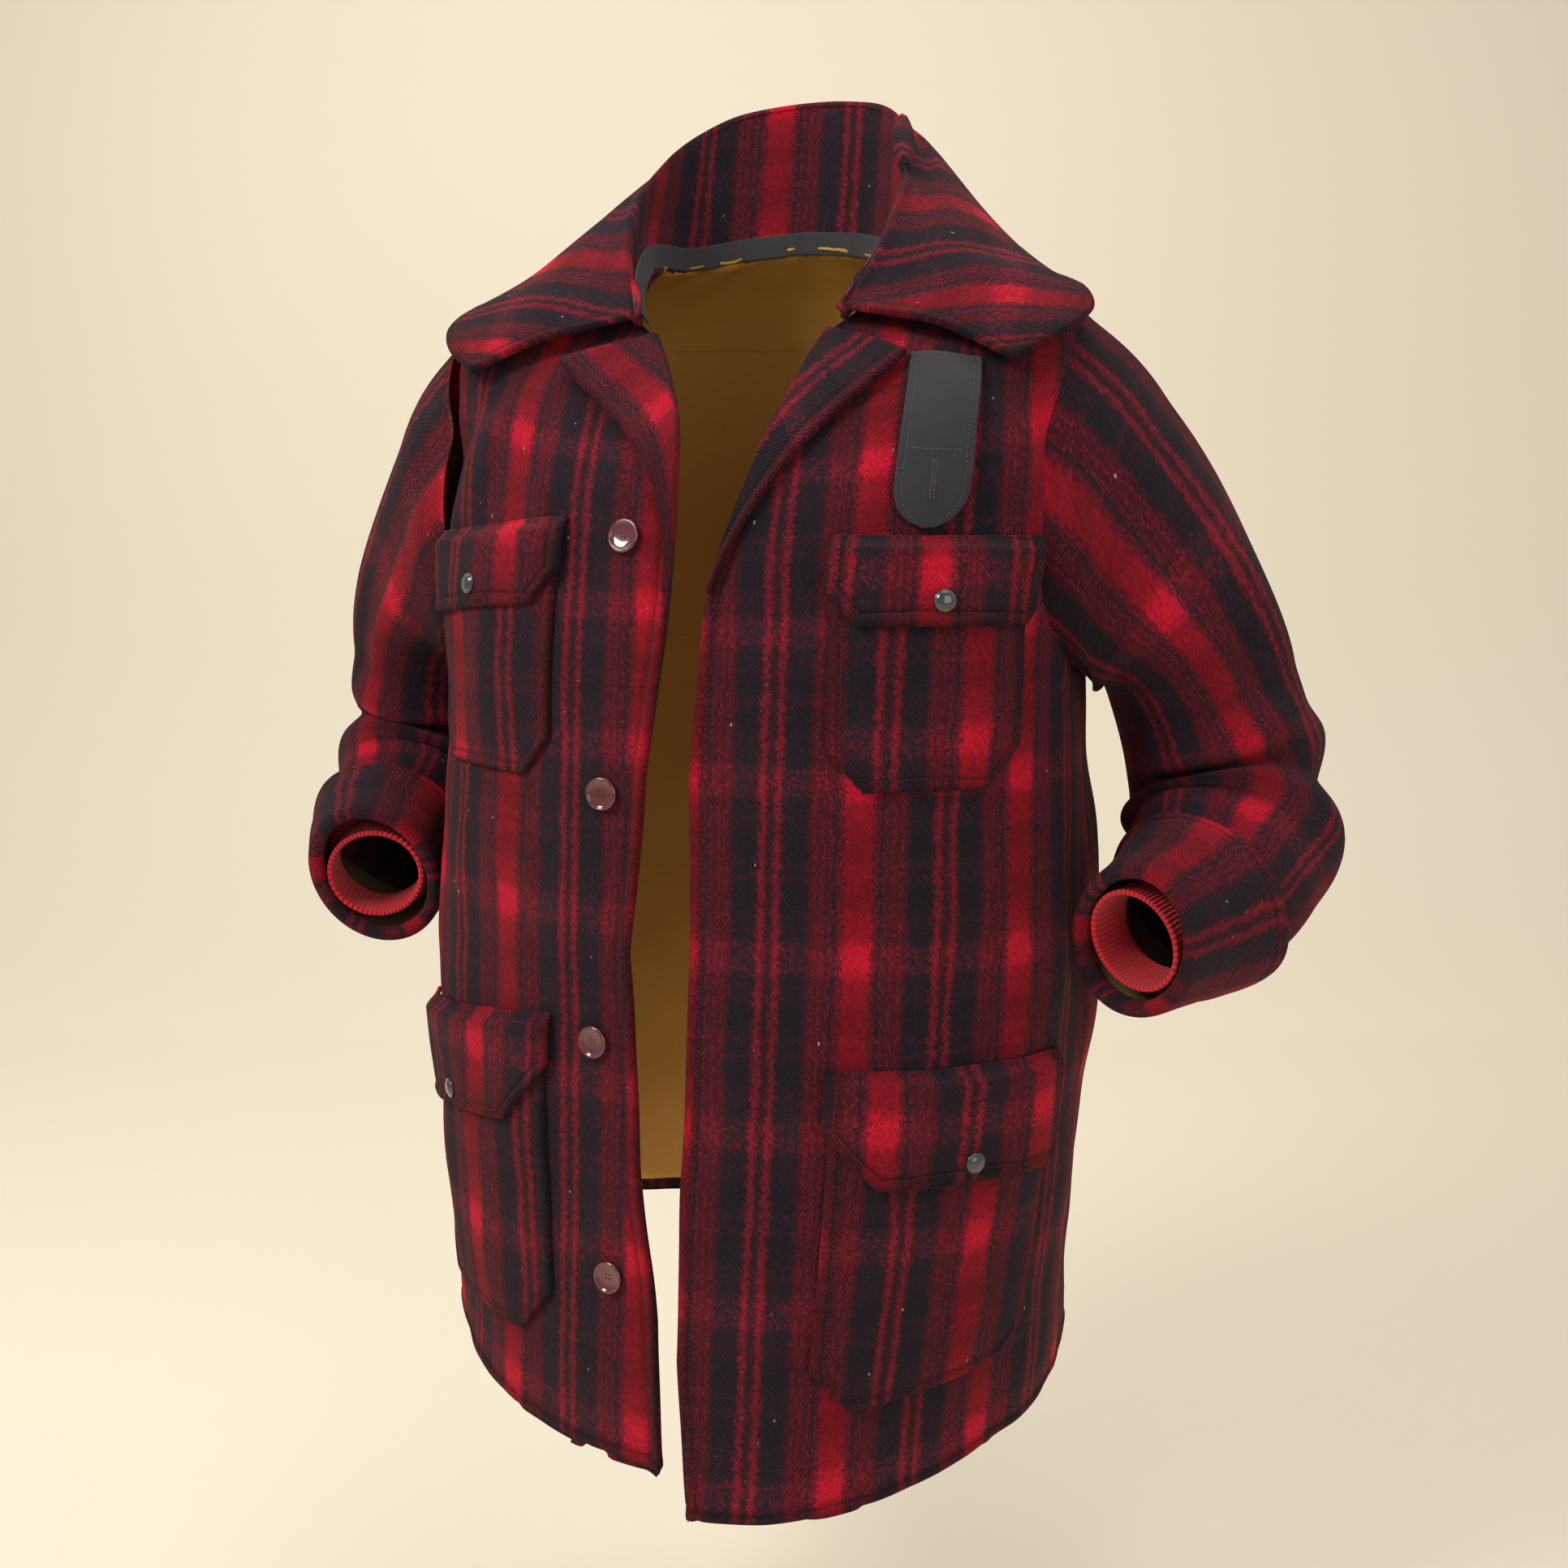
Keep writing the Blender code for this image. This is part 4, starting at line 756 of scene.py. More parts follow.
def make_fronts():
    """Fronts with a rolled edge, the wool facing behind it and the lining beyond the facing."""
    levels = panel_levels(120, 60, 40)
    near = np.linspace(0, 0.05, 12)
    facing_share = FACING_WIDTH / (0.5 * math.pi * 0.22)
    fractions = np.concatenate([near, np.linspace(0.05, facing_share, 12)[1:],
                                np.linspace(facing_share, 1, 81)[1:]])
    border = 22
    for side, end in ((1, "left"), (-1, "right")):
        turn = side * front_turns(side, levels, fractions)
        base, out_way = body_surface(turn, levels[:, None])
        from_edge = lengths_along(base, 1)
        low = lengths_along(base, 0)
        relief = rim_ridge(from_edge) + rim_ridge(low)
        outer = base + out_way * relief[..., None]
        first = np.abs(base[:, 0, 0] - THROAT_PULL * 0.5)
        u, v = panel_uv(outer, first)
        u = u * side + (0.0 if side > 0 else 0.031)
        piece = wall("front_wool_" + end, outer, base - out_way * WOOL, u, v, "plaid",
                     edge=np.minimum(from_edge, low + 0.002))
        cloth_of(piece, "front_" + end)
        body = slice(0, int(np.searchsorted(levels, BREAK_LEVEL)))
        sew_round("front_" + end, outer[body], out_way[body], ("first",), 0.0085)
        line, facing = inset_line(outer, out_way, "low", 0.027, 0.009)
        sewn_line("front_hem_" + end, line, facing)
        strip = slice(0, border + 1)
        behind = base - out_way * (WOOL + LAY)
        inner = behind - out_way * FACING
        piece = wall("facing_wool_" + end, behind[:, strip], inner[:, strip], u[:, strip] + 0.03,
                     v[:, strip], "plaid")
        cloth_of(piece, "facing_" + end)
        rest = slice(border, None, 2)
        every = slice(4, None, 2)
        top = behind[every, rest].copy()
        way = out_way[every, rest]
        open_rows = armhole_width(levels[every], 0.75)[:, None]
        top[:, -1] = top[:, -1] * (1 - open_rows) + top[:, -2] * open_rows
        top[:, 0] += unit(top[:, 1] - top[:, 0]) * 0.001
        under = top - way * LINING
        piece = wall("front_lining_" + end, top, under, u[every, rest], v[every, rest], "satin")
        cloth_of(piece, "lining_front_" + end)


def lapel_surface(side, along, across, height):
    """Point of a lapel this far above the front: along from the break to the gorge, across
    from the fold to its free edge."""
    level = BREAK_LEVEL + (GORGE_LEVEL - 0.1 - BREAK_LEVEL) * along
    fold = fold_x(side, level)
    edge_level = BREAK_LEVEL + (LAPEL_TIP_LEVEL - BREAK_LEVEL) * along
    widen = 0.2 * along + 0.8 * along ** LAPEL_CURVE
    edge = fold + (LAPEL_TIP_X - GORGE_X) * widen
    reach = fold + (edge - fold) * across
    levels = level + (edge_level - level) * across
    lift = LAY + 0.0006 + LAPEL_TIP_LIFT * along ** 2 * across ** 1.5
    return body_surface(side * turn_of_x(levels, reach), levels, lift + height)


def make_lapels():
    """Lapels: a double layer that rolls round the front's edge and lies back over the front."""
    along = np.linspace(0.02, 1, 90)[:, None]
    across = np.concatenate([np.linspace(0, 0.9, 36), np.linspace(0.9, 1, 8)[1:]])[None, :]
    for side, end in ((1, "left"), (-1, "right")):
        inner, out_way = lapel_surface(side, along, across, 0.0)
        width = lengths_along(inner, 1)
        from_edge = width[:, -1:] - width
        crown = DOUBLE_WOOL + rim_ridge(from_edge) * 0.8
        outer = inner + out_way * crown[..., None]
        fold_way = out_way[:, :1]
        away = -unit(inner[:, 1:2] - inner[:, :1])
        turn = np.linspace(math.pi, 0.0, 12)[None, :-1, None]
        middle = inner[:, :1] - fold_way * 0.0011
        radius = 0.0061
        roll_out = middle + radius * (np.cos(turn) * fold_way + 0.55 * np.sin(turn) * away)
        roll_in = middle + 0.0012 * (np.cos(turn) * fold_way + 0.55 * np.sin(turn) * away)
        outer = np.concatenate([roll_out, outer], axis=1)
        inner = np.concatenate([roll_in, inner], axis=1)
        run = lengths_along(outer, 1)
        u = (run[:, -1:] - run + (0.025 if side > 0 else -0.030)) * side
        v = np.broadcast_to(lengths_along(outer, 0)[:, -1:], u.shape)
        piece = wall("lapel_wool_" + end, outer, inner, u, v, "plaid", edge=run[:, -1:] - run)
        cloth_of(piece, "lapel_" + end)
        ways = np.concatenate([np.repeat(fold_way, 11, axis=1), out_way], axis=1)
        sew_round("lapel_" + end, outer, ways, ("last",), 0.0085)
        if side > 0:
            at = int(len(outer) * 0.80)
            spot = int(np.argmin(np.abs(run[at, -1] - run[at] - 0.024)))
            across_way = unit(outer[at, spot + 2] - outer[at, spot - 2])
            make_buttonhole("lapel_buttonhole", outer[at, spot], ways[at, spot], across_way, 0.022,
                            "black_thread")


def make_sleeves():
    """Sleeves, their turned-back cuffs, the lining at the opening and the knitted cuffs."""
    around = np.linspace(-math.pi, math.pi, 105)[None, :-1]
    for side, end in ((1, "left"), (-1, "right")):
        length = SLEEVE_LENGTHS[side]
        last = 1 - SLEEVE_END_BACK / length
        along = np.linspace(0, last, 161)[:, None]
        outer = sleeve_surface(side, along, around)
        inner = sleeve_surface(side, along, around, -WOOL)
        rim, rim_way = armhole_point(around)
        away = rim - sleeve_axis(side, 0.0)[:3]
        away = unit(away - rim_way * np.sum(away * rim_way, -1, keepdims=True))
        under = rim + away * np.array([0.010, 0.006, 0.002])[:, None, None]
        sunk = np.array([0.0034, 0.0034, 0.0026])[:, None, None]
        outer = side_points(np.concatenate([under - rim_way * sunk, outer]), side)
        inner = side_points(np.concatenate([under - rim_way * (sunk + 0.0009), inner]), side)
        full = np.concatenate([outer, outer[:, :1]], axis=1)
        girth = float(lengths_along(full, 1)[30:130, -1].mean())
        share = np.linspace(-0.5, 0.5, 105)[None, :]
        u = np.broadcast_to(share * girth * side, full.shape[:2])
        v = np.broadcast_to(lengths_along(full, 0).mean(1)[:, None], u.shape) * -1.0
        piece = wall("sleeve_wool_" + end, outer, inner, u, v, "plaid", wrap=True)
        cloth_of(piece, "sleeve_" + end)
        make_cuff(side, end, around)
        inside = 1 - (CUFF_INSIDE + 0.001) / length
        step = inside / 16
        along = np.linspace(inside - 3 * step, inside, 31)[:, None]
        top = -(WOOL + LAY)
        outer = side_points(sleeve_surface(side, along, around, top), side)
        inner = side_points(sleeve_surface(side, along, around, top - LINING), side)
        piece = wall("sleeve_lining_twill_" + end, outer, inner, share * girth + 0 * along,
                     along * length + 0 * share, "lining_twill", wrap=True)
        cloth_of(piece, "sleeve_lining_" + end)
        make_storm_cuff(side, end)


def make_cuff(side, end, around):
    """Turned-back cuff: a hook-shaped section carried round the end of the sleeve."""
    gap = WOOL + LAY
    mouth = 0.0035
    back = CUFF_DEPTH
    outside = np.array([
        (back, LAY + WOOL + CUFF_FLARE), (back * 0.66, LAY + WOOL + CUFF_FLARE * 0.75),
        (back * 0.33, LAY + WOOL + CUFF_FLARE * 0.4), (0.004, LAY + WOOL + 0.001),
        (-mouth * 0.4, 0.0012), (-mouth * 0.6, -0.0020), (-mouth * 0.2, -gap - WOOL * 0.6),
        (0.005, -gap - WOOL), (CUFF_INSIDE, -gap - WOOL)])
    inside = np.array([
        (back, LAY + CUFF_FLARE), (back * 0.66, LAY + CUFF_FLARE * 0.75),
        (back * 0.33, LAY + CUFF_FLARE * 0.4), (0.0030, LAY * 1.2), (0.0024, -gap * 0.3),
        (0.0026, -gap * 0.6), (0.0035, -gap * 0.9), (0.0060, -gap), (CUFF_INSIDE, -gap)])
    steps = np.linspace(0, 8, 65)
    outside, inside = through(outside, steps), through(inside, steps)
    length = SLEEVE_LENGTHS[side]
    run = np.concatenate([[0], np.cumsum(np.linalg.norm(np.diff(outside, axis=0), axis=1))])
    outside[:, 1] += rim_ridge(run)
    loops = [side_points(sleeve_surface(side, 1 - part[:, :1] / length, around, part[:, 1:]), side)
             for part in (outside, inside)]
    share = np.linspace(-0.5, 0.5, 105)[None, :]
    full = np.concatenate([loops[0], loops[0][:, :1]], axis=1)
    girth = float(lengths_along(full, 1)[:, -1].mean())
    u = share * girth * side + 0.024 + 0 * run[:, None]
    v = run[:, None] + 0 * share
    piece = wall("cuff_wool_" + end, loops[0], loops[1], u, v, "plaid", edge=v, wrap=True)
    cloth_of(piece, "cuff_" + end)
    raised = side_points(sleeve_surface(side, 1 - outside[:, :1] / length, around,
                                        outside[:, 1:] + 0.002), side)
    line, facing = inset_line(loops[0], unit(raised - loops[0]), "low", 0.0085, 0.0)
    sewn_line("cuff_stitches_" + end, line, facing)


def make_storm_cuff(side, end):
    """Ribbed knitted cuff: a narrow tube with fine ribs, whose root flares to the lining."""
    around = np.linspace(-math.pi, math.pi, 337)[None, :-1]
    reach = through(np.array([[0.064], [0.046], [0.026], [0.006]]), np.linspace(0, 3, 26))
    along = 1 - reach / SLEEVE_LENGTHS[side]
    wide = sleeve_surface(side, along, around, -(WOOL + LINING + 2.8 * LAY))
    centre = sleeve_axis(side, along)[..., :3]
    spoke = wide - centre
    full = np.linalg.norm(spoke, axis=-1, keepdims=True)
    narrow = ease((0.066 - reach) / 0.022)[..., None]
    radius = full * (1 - narrow) + STORM_CUFF_RADIUS * narrow
    end_roll = 0.0012 * np.exp(-((reach - 0.006) / 0.003) ** 2)[..., None]
    ribs = 0.0006 * np.cos(around * KNIT_RIBS)[..., None] * narrow * ease((reach - 0.004) / 0.006)[..., None]
    outer = side_points(centre + unit(spoke) * (radius + ribs + end_roll), side)
    inner = side_points(centre + unit(spoke) * (radius - STORM_CUFF_WALL + ribs * 0.6), side)
    share = np.linspace(0, 1, 337)[None, :]
    u = share * 0.226 + 0 * reach
    v = reach + 0 * share
    piece = wall("storm_cuff_knit_" + end, outer, inner, u, v, "red_knit", wrap=True)
    cloth_of(piece, "storm_cuff_" + end)


def collar_base():
    """Collar surface at the solid's own places: stand, roll and leaf, resting on the body."""
    places = np.linspace(-1, 1, 23)
    rows = collar_profile(places)
    steps = np.array([0, 1.0, 1.8, 2.4, 3.0, 3.6, 4.4, 5.2, 6.1, 7.0])
    top = through(rows.reshape(len(rows), -1), steps).reshape(len(steps), len(places), 3)
    round_ends = 1 - 0.10 * np.maximum(np.abs(places) - 0.86, 0) / 0.14
    top[-1] = top[-4] + (top[-1] - top[-4]) * round_ends[:, None]
    top = collar_pull(top)
    clear = COLLAR_CLEAR + COLLAR_OVER_LAPEL * ease((np.abs(places) - 0.62) / 0.2)
    clear = np.where((steps >= 3.0)[:, None], clear[None, :], -1.0)
    top = lifted_clear(top, clear)
    top[0] = top[0] + np.array([0, 0, COLLAR_SEAM_LIFT])
    return top


def lifted_clear(points, clear):
    """Points moved out so that each stays this far above the body cloth."""
    turn = np.linspace(-math.pi, math.pi, 241)[:, None]
    level = np.linspace(7.0, TOP_LEVEL, 61)[None, :]
    skin, out_way = body_surface(turn, level)
    skin, out_way = skin.reshape(-1, 3), out_way.reshape(-1, 3)
    flat = points.reshape(-1, 3)
    away = np.sum((flat[:, None, :] - skin[None, :, :]) ** 2, -1)
    nearest = np.argmin(away, axis=1)
    height = np.sum((flat - skin[nearest]) * out_way[nearest], -1)
    short = np.maximum(clear.reshape(-1) - height, 0)
    return (flat + out_way[nearest] * short[:, None]).reshape(points.shape)


def make_collar():
    """Collar: one double layer of wool that rolls over at its crown, with a rounded edge."""
    base = collar_base()
    rows = through(base.reshape(10, -1), np.linspace(0, 9, 73)).reshape(73, 23, 3)
    turned = np.swapaxes(rows, 0, 1).reshape(23, -1)
    top = np.swapaxes(through(turned, np.linspace(0, 22, 177)).reshape(177, 73, 3), 0, 1)
    over = np.gradient(top, axis=0)
    along = np.gradient(top, axis=1)
    under = unit(np.cross(over, along))
    if under[-10, 88, 2] > 0:
        under = -under
    run = lengths_along(top, 0)
    side_run = lengths_along(top, 1)
    edge = np.minimum(run[-1:] - run, np.minimum(side_run, side_run[:, -1:] - side_run) + 0.001)
    relief = rim_ridge(edge) * ease((run - 0.03) / 0.03)
    outer = top - under * relief[..., None]
    inner = top + under * DOUBLE_WOOL
    middle = side_run[:, 88:89]
    u = (side_run - middle) * 0.94 + 0.026
    piece = wall("collar_wool", outer, inner, u, run, "plaid", edge=edge + 0.2 * (run < 0.03))
    cloth_of(piece, "collar")
    sew_round("collar", outer[26:], -under[26:], ("high", "first", "last"), 0.0085)


def make_neck_binding():
    """Tape that covers the neck seam inside the collar."""
    places = np.linspace(-0.97, 0.97, 161)
    values = through(COLLAR_SECTIONS, np.abs(places) * (len(COLLAR_SECTIONS) - 1))
    values = values * np.where(np.arange(9) % 3 == 0, np.sign(places + 1e-9)[:, None], 1.0)
    seam, roll = values[:, 0:3], values[:, 3:6]
    up = unit(roll - seam)
    along = unit(np.gradient(seam, axis=0))
    inward = unit(np.cross(along, up))
    centre = np.array([0.0, -0.01, 0.05])
    inward = inward * np.sign(np.sum((centre - seam) * inward, 1, keepdims=True))
    steps = np.linspace(-0.30, 0.95, 17)[:, None, None]
    back = seam[None] + up[None] * BINDING_WIDTH * steps + inward[None] * (LAY * 1.2 + 0.0006)
    front = back + inward[None] * BINDING_THICK
    outer, inner = collar_pull(front), collar_pull(back)
    piece = wall("neck_tape", outer, inner, lengths_along(outer, 1), lengths_along(outer, 0), "tape")
    cloth_of(piece, "neck_binding")


def pocket_surface(row, height, rows=44, columns=61):
    """Grid of a pocket's cloth at its inner face; height is not used."""
    name, side, inner, outer, top_in, top_out, low_in, low_out, cut_in, cut_out, puff = row
    turn, level, down, across, distance, z = patch_grid(
        side, inner, outer, top_in, top_out, low_in, low_out, cut_in, cut_out, rows, columns, 14)
    swell = puff * np.sin(math.pi * across) ** 0.7 * np.sin(math.pi * (0.12 + 0.88 * down)) ** 0.7
    point, out_way = body_surface(turn, level, PATCH_LAY + swell)
    return point, out_way, distance * side, z, down, across


def make_pockets():
    """Patch pockets with a rolled edge, standing off between their sewn edges."""
    for number, row in enumerate(POCKETS):
        inside, out_way, u, v, down, across = pocket_surface(row, 0.0)
        run = lengths_along(inside, 1)
        low = lengths_along(inside, 0)
        edge = np.minimum(np.minimum(run, run[:, -1:] - run), low[-1:] - low)
        outer = inside + out_way * (WOOL + rim_ridge(edge))[..., None]
        shift = (0.041, 0.083, 0.017, 0.066)[number]
        piece = wall(row[0] + "_wool", outer, inside, u + shift, v + 0.7 * shift, "plaid", edge=edge)
        cloth_of(piece, row[0])
        sew_round(row[0], outer, out_way, ("high", "first", "last"), 0.0085)


def flap_surface(row, rows, columns, corner_rows):
    """Inner face of a flap, which starts on the front and passes over its pocket."""
    name, side, inner, outer, top_in, top_out, depth, cut_in, cut_out, puff = row
    turn, level, down, across, distance, z = patch_grid(
        side, inner, outer, top_in, top_out, top_in - depth, top_out - depth, cut_in, cut_out,
        rows, columns, corner_rows)
    over = ease(down * depth / FLAP_SEWN)
    lift = PATCH_LAY + over * (WOOL + PATCH_LAY + puff * np.sin(math.pi * across) ** 0.5)
    point, out_way = body_surface(turn, level, lift)
    return point, out_way, distance * side, z


def make_flaps():
    """Pocket flaps in wool with a rolled edge, and the snap on each."""
    for number, row in enumerate(FLAPS):
        inside, out_way, u, v = flap_surface(row, 40, 81, 16)
        run = lengths_along(inside, 1)
        low = lengths_along(inside, 0)
        edge = np.minimum(np.minimum(run, run[:, -1:] - run), low[-1:] - low)
        outer = inside + out_way * (WOOL + rim_ridge(edge))[..., None]
        shift = (0.075, 0.022, 0.095, 0.049)[number]
        piece = wall(row[0] + "_wool", outer, inside, u + shift, v + 0.5 * shift, "plaid",
                     edge=edge * 0.8)
        cloth_of(piece, row[0])
        sew_round(row[0], outer, out_way, ("low", "high", "first", "last"), 0.0085)
        coarse, coarse_way = flap_surface(row, 4, 7, 4)[:2]
        top = coarse + coarse_way * WOOL
        height = (row[4] + row[5]) / 2 - row[6] + SNAP_UP
        at = int(np.argmin(np.abs(top[:, 3, 2] - height)))
        place, way = top[at, 3], coarse_way[at, 3]
        make_turned(row[0].replace("flap", "snap"), place - way * 0.0004, way, SNAP_PROFILE,
                    "snap_metal", row[0].replace("flap", "snap"))


SNAP_PROFILE = (
    (0.0, 0.0003), (0.0060, 0.0003), (0.0072, 0.0004), (0.0075, 0.0008), (0.0075, 0.0013),
    (0.0071, 0.0018), (0.0066, 0.0020), (0.0063, 0.0019), (0.0060, 0.0020), (0.0052, 0.0027),
    (0.0038, 0.0033), (0.0020, 0.0037), (0.0, 0.0038),
)
BUTTON_PROFILE = (
    (0.0, 0.0012), (0.0070, 0.0012), (0.0100, 0.0015), (0.0113, 0.0022), (0.0118, 0.0031),
    (0.0117, 0.0040), (0.0111, 0.0047), (0.0104, 0.0049), (0.0097, 0.0046), (0.0090, 0.0040),
    (0.0078, 0.0035), (0.0050, 0.0032), (0.0020, 0.0031), (0.0, 0.0031),
)


def make_turned(name, place, out_way, profile, finish, node):
    """Round piece: a smooth profile of radius and height turned about its axis, closed at both poles."""
    way = unit(np.asarray(out_way))
    side_way = unit(np.cross(way, np.array([0.0, 0.0, 1.0])))
    up_way = np.cross(side_way, way)
    smooth = through(profile, np.linspace(0, len(profile) - 1, 3 * (len(profile) - 1) + 1))
    smooth[:, 0] = np.maximum(smooth[:, 0], 0)
    radius, height = smooth[1:-1, 0][:, None, None], smooth[1:-1, 1][:, None, None]
    angle = np.linspace(0, 2 * math.pi, 56, endpoint=False)[None, :, None]
    rings = place + (side_way * np.cos(angle) + up_way * np.sin(angle)) * radius + way * height
    count, around = rings.shape[:2]
    points = np.concatenate([rings.reshape(-1, 3), [place + way * smooth[0, 1]],
                             [place + way * smooth[-1, 1]]])
    index = np.arange(count * around).reshape(count, around)
    index = np.concatenate([index, index[:, :1]], axis=1)
    quads = corners(index).reshape(-1, 4).tolist()
    low, high = count * around, count * around + 1
    first = [(low, b, a) for a, b in zip(index[0, :-1].tolist(), index[0, 1:].tolist())]
    last = [(high, a, b) for a, b in zip(index[-1, :-1].tolist(), index[-1, 1:].tolist())]
    mesh = bpy.data.meshes.new(name + "_turned")
    mesh.from_pydata(points.tolist(), [], quads + first + last)
    mesh.polygons.foreach_set("use_smooth", np.ones(len(mesh.polygons), dtype=bool))
    mesh.materials.append(FINISHES[finish])
    centre = points.mean(0)
    middle = np.zeros(len(mesh.polygons) * 3)
    normal = np.zeros(len(mesh.polygons) * 3)
    mesh.update()
    mesh.polygons.foreach_get("center", middle)
    mesh.polygons.foreach_get("normal", normal)
    if np.sum((middle.reshape(-1, 3) - centre) * normal.reshape(-1, 3)) < 0:
        mesh.flip_normals()
    piece = bpy.data.objects.new(name + "_turned", mesh)
    bpy.context.scene.collection.objects.link(piece)
    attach(piece, "root")
    if node:
        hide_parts(node)
    return piece


def make_buttons():
    """Four glossy buttons with a raised rim, each sewn on through four holes."""
    levels = np.linspace(0, TOP_LEVEL, 1201)
    for number, (z, away, lift) in enumerate(BUTTONS, 1):
        level = np.interp(z, through(BODY_SECTIONS, levels)[:, 4], levels)
        place, way = body_surface(-turn_of_x(level, away), level)
        name = "button_%d" % number
        make_turned(name, place, way, BUTTON_PROFILE, "button_gloss", name)
        side_way = unit(np.cross(way, np.array([0.0, 0.0, 1.0])))
        up_way = np.cross(side_way, way)
        spots = np.array([(1, 1), (1, -1), (-1, 1), (-1, -1)]) * 0.0014
        middle = place + way * 0.0034
        starts = middle + side_way * spots[:, :1] + up_way * spots[:, 1:]
        ends = starts + up_way * 0.0012
        make_stitches(name + "_thread", starts, ends, np.tile(way, (4, 1)), 0.0005, "dark_thread")


TAB_UNDER_COLLAR = 0.026


def make_tab():
    """Throat tab: a round-ended cotton strap that hangs from under the collar."""
    radius = TAB_WIDTH / 2
    top_z = TAB_TOP_Z + TAB_UNDER_COLLAR
    tall = top_z - TAB_BOTTOM_Z
    down = np.concatenate([np.linspace(0, 1 - radius / tall, 40),
                           1 - radius / tall * (1 - np.sin(np.linspace(0, math.pi / 2, 24)[1:]))])
    beyond = np.maximum(down * tall - (tall - radius), 0)
    half = np.sqrt(np.maximum(radius ** 2 - beyond ** 2, (0.20 * radius) ** 2))
    across = np.linspace(-1, 1, 41)[None, :]
    distance = TAB_INNER + radius + half[:, None] * across
    z = (top_z - tall * down)[:, None] * np.ones((1, 41))
    turn, level = solve_front(1, distance, z)
    lift = 0.0008 + 0.004 * np.sin(math.pi * down[:, None]) + 0.002 * down[:, None]
    inside, out_way = body_surface(turn, level, lift + 0 * across)
    side_edge = half[:, None] * (1 - np.abs(across))
    end_edge = (1 - down[:, None]) * tall
    edge = np.minimum(side_edge, end_edge + 0.004)
    groove = -0.0004 * np.exp(-((edge - 0.0035) / 0.0010) ** 2)
    outer = inside + out_way * (TAB_THICK + groove)[..., None]
    piece = wall("throat_tab_cotton", outer, inside, distance, z, "tape")
    cloth_of(piece, "throat_tab")
    make_tab_sewing(inside, out_way)


def make_stitches(name, starts, ends, ways, radius, finish):
    """Row of stitches: for each, a small spindle of thread from start to end, lying on the cloth."""
    middle = (starts + ends) / 2
    half = (ends - starts) / 2
    side_way = unit(np.cross(half, ways))
    angle = np.linspace(0, 2 * math.pi, 4, endpoint=False)
    spoke = (side_way[:, None, None] * np.cos(angle)[None, None, :, None]
             + ways[:, None, None] * np.sin(angle)[None, None, :, None])
    ring_at = np.array([-0.55, 0.55])[None, :, None, None]
    rings = middle[:, None, None] + half[:, None, None] * ring_at + spoke * radius
    tips = np.stack([starts, ends], 1)
    points = np.concatenate([rings.reshape(len(starts), 8, 3), tips], axis=1)
    faces = []
    for k in range(4):
        after = (k + 1) % 4
        faces += [(8, after, k, k), (k, after, 4 + after, 4 + k), (9, 4 + k, 4 + after, 4 + after)]
    one = np.array(faces)
    every = (one[None] + 10 * np.arange(len(starts))[:, None, None]).reshape(-1, 4).tolist()
    every = [face[:3] if face[2] == face[3] else face for face in every]
    mesh = bpy.data.meshes.new(name)
    mesh.from_pydata(points.reshape(-1, 3).tolist(), [], every)
    mesh.polygons.foreach_set("use_smooth", np.ones(len(mesh.polygons), dtype=bool))
    mesh.materials.append(FINISHES[finish])
    mesh.update()
    piece = bpy.data.objects.new(name, mesh)
    bpy.context.scene.collection.objects.link(piece)
    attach(piece, "root")
    return piece


def sewn_line(name, points, ways, finish="dark_thread", pitch=0.0036, part=0.72, radius=0.00034):
    """Stitches along a line of points on the cloth, evenly spaced, a little sunk in the wool."""
    run = np.concatenate([[0], np.cumsum(np.linalg.norm(np.diff(points, axis=0), axis=1))])
    count = max(int(run[-1] / pitch), 2)
    at = np.arange(count) * pitch + 0.001
    def read(values, where):
        return np.stack([np.interp(where, run, values[:, k]) for k in range(3)], -1)
    starts, ends = read(points, at), read(points, at + pitch * part)
    way = unit(read(ways, at))
    return make_stitches(name, starts, ends, way, radius, finish)


def inset_line(points, ways, border, inset, trim=None):
    """Line on a grid this far in from one border: low or high row, first or last column."""
    trim = inset if trim is None else trim
    axis = 0 if border in ("low", "high") else 1
    run = lengths_along(points, axis)
    if border in ("high", "last"):
        run = (run[-1:] if axis == 0 else run[:, -1:]) - run
    if axis == 0:
        run, points, ways = run.T, np.swapaxes(points, 0, 1), np.swapaxes(ways, 0, 1)
    line, facing = [], []
    for distance, spots, way in zip(run, points, ways):
        order = np.argsort(distance)
        line.append([np.interp(inset, distance[order], spots[order, k]) for k in range(3)])
        facing.append([np.interp(inset, distance[order], way[order, k]) for k in range(3)])
    line, facing = np.array(line), np.array(facing)
    along = np.concatenate([[0], np.cumsum(np.linalg.norm(np.diff(line, axis=0), axis=1))])
    inside = (along >= trim) & (along <= along[-1] - trim)
    return line[inside], unit(facing[inside])


def sew_round(name, points, ways, borders, inset, pitch=0.0034, finish="dark_thread"):
    """Stitch lines this far in from the named borders of a grid."""
    for border in borders:
        line, facing = inset_line(points, ways, border, inset)
        sewn_line(name + "_stitches_" + border, line, facing, finish, pitch)


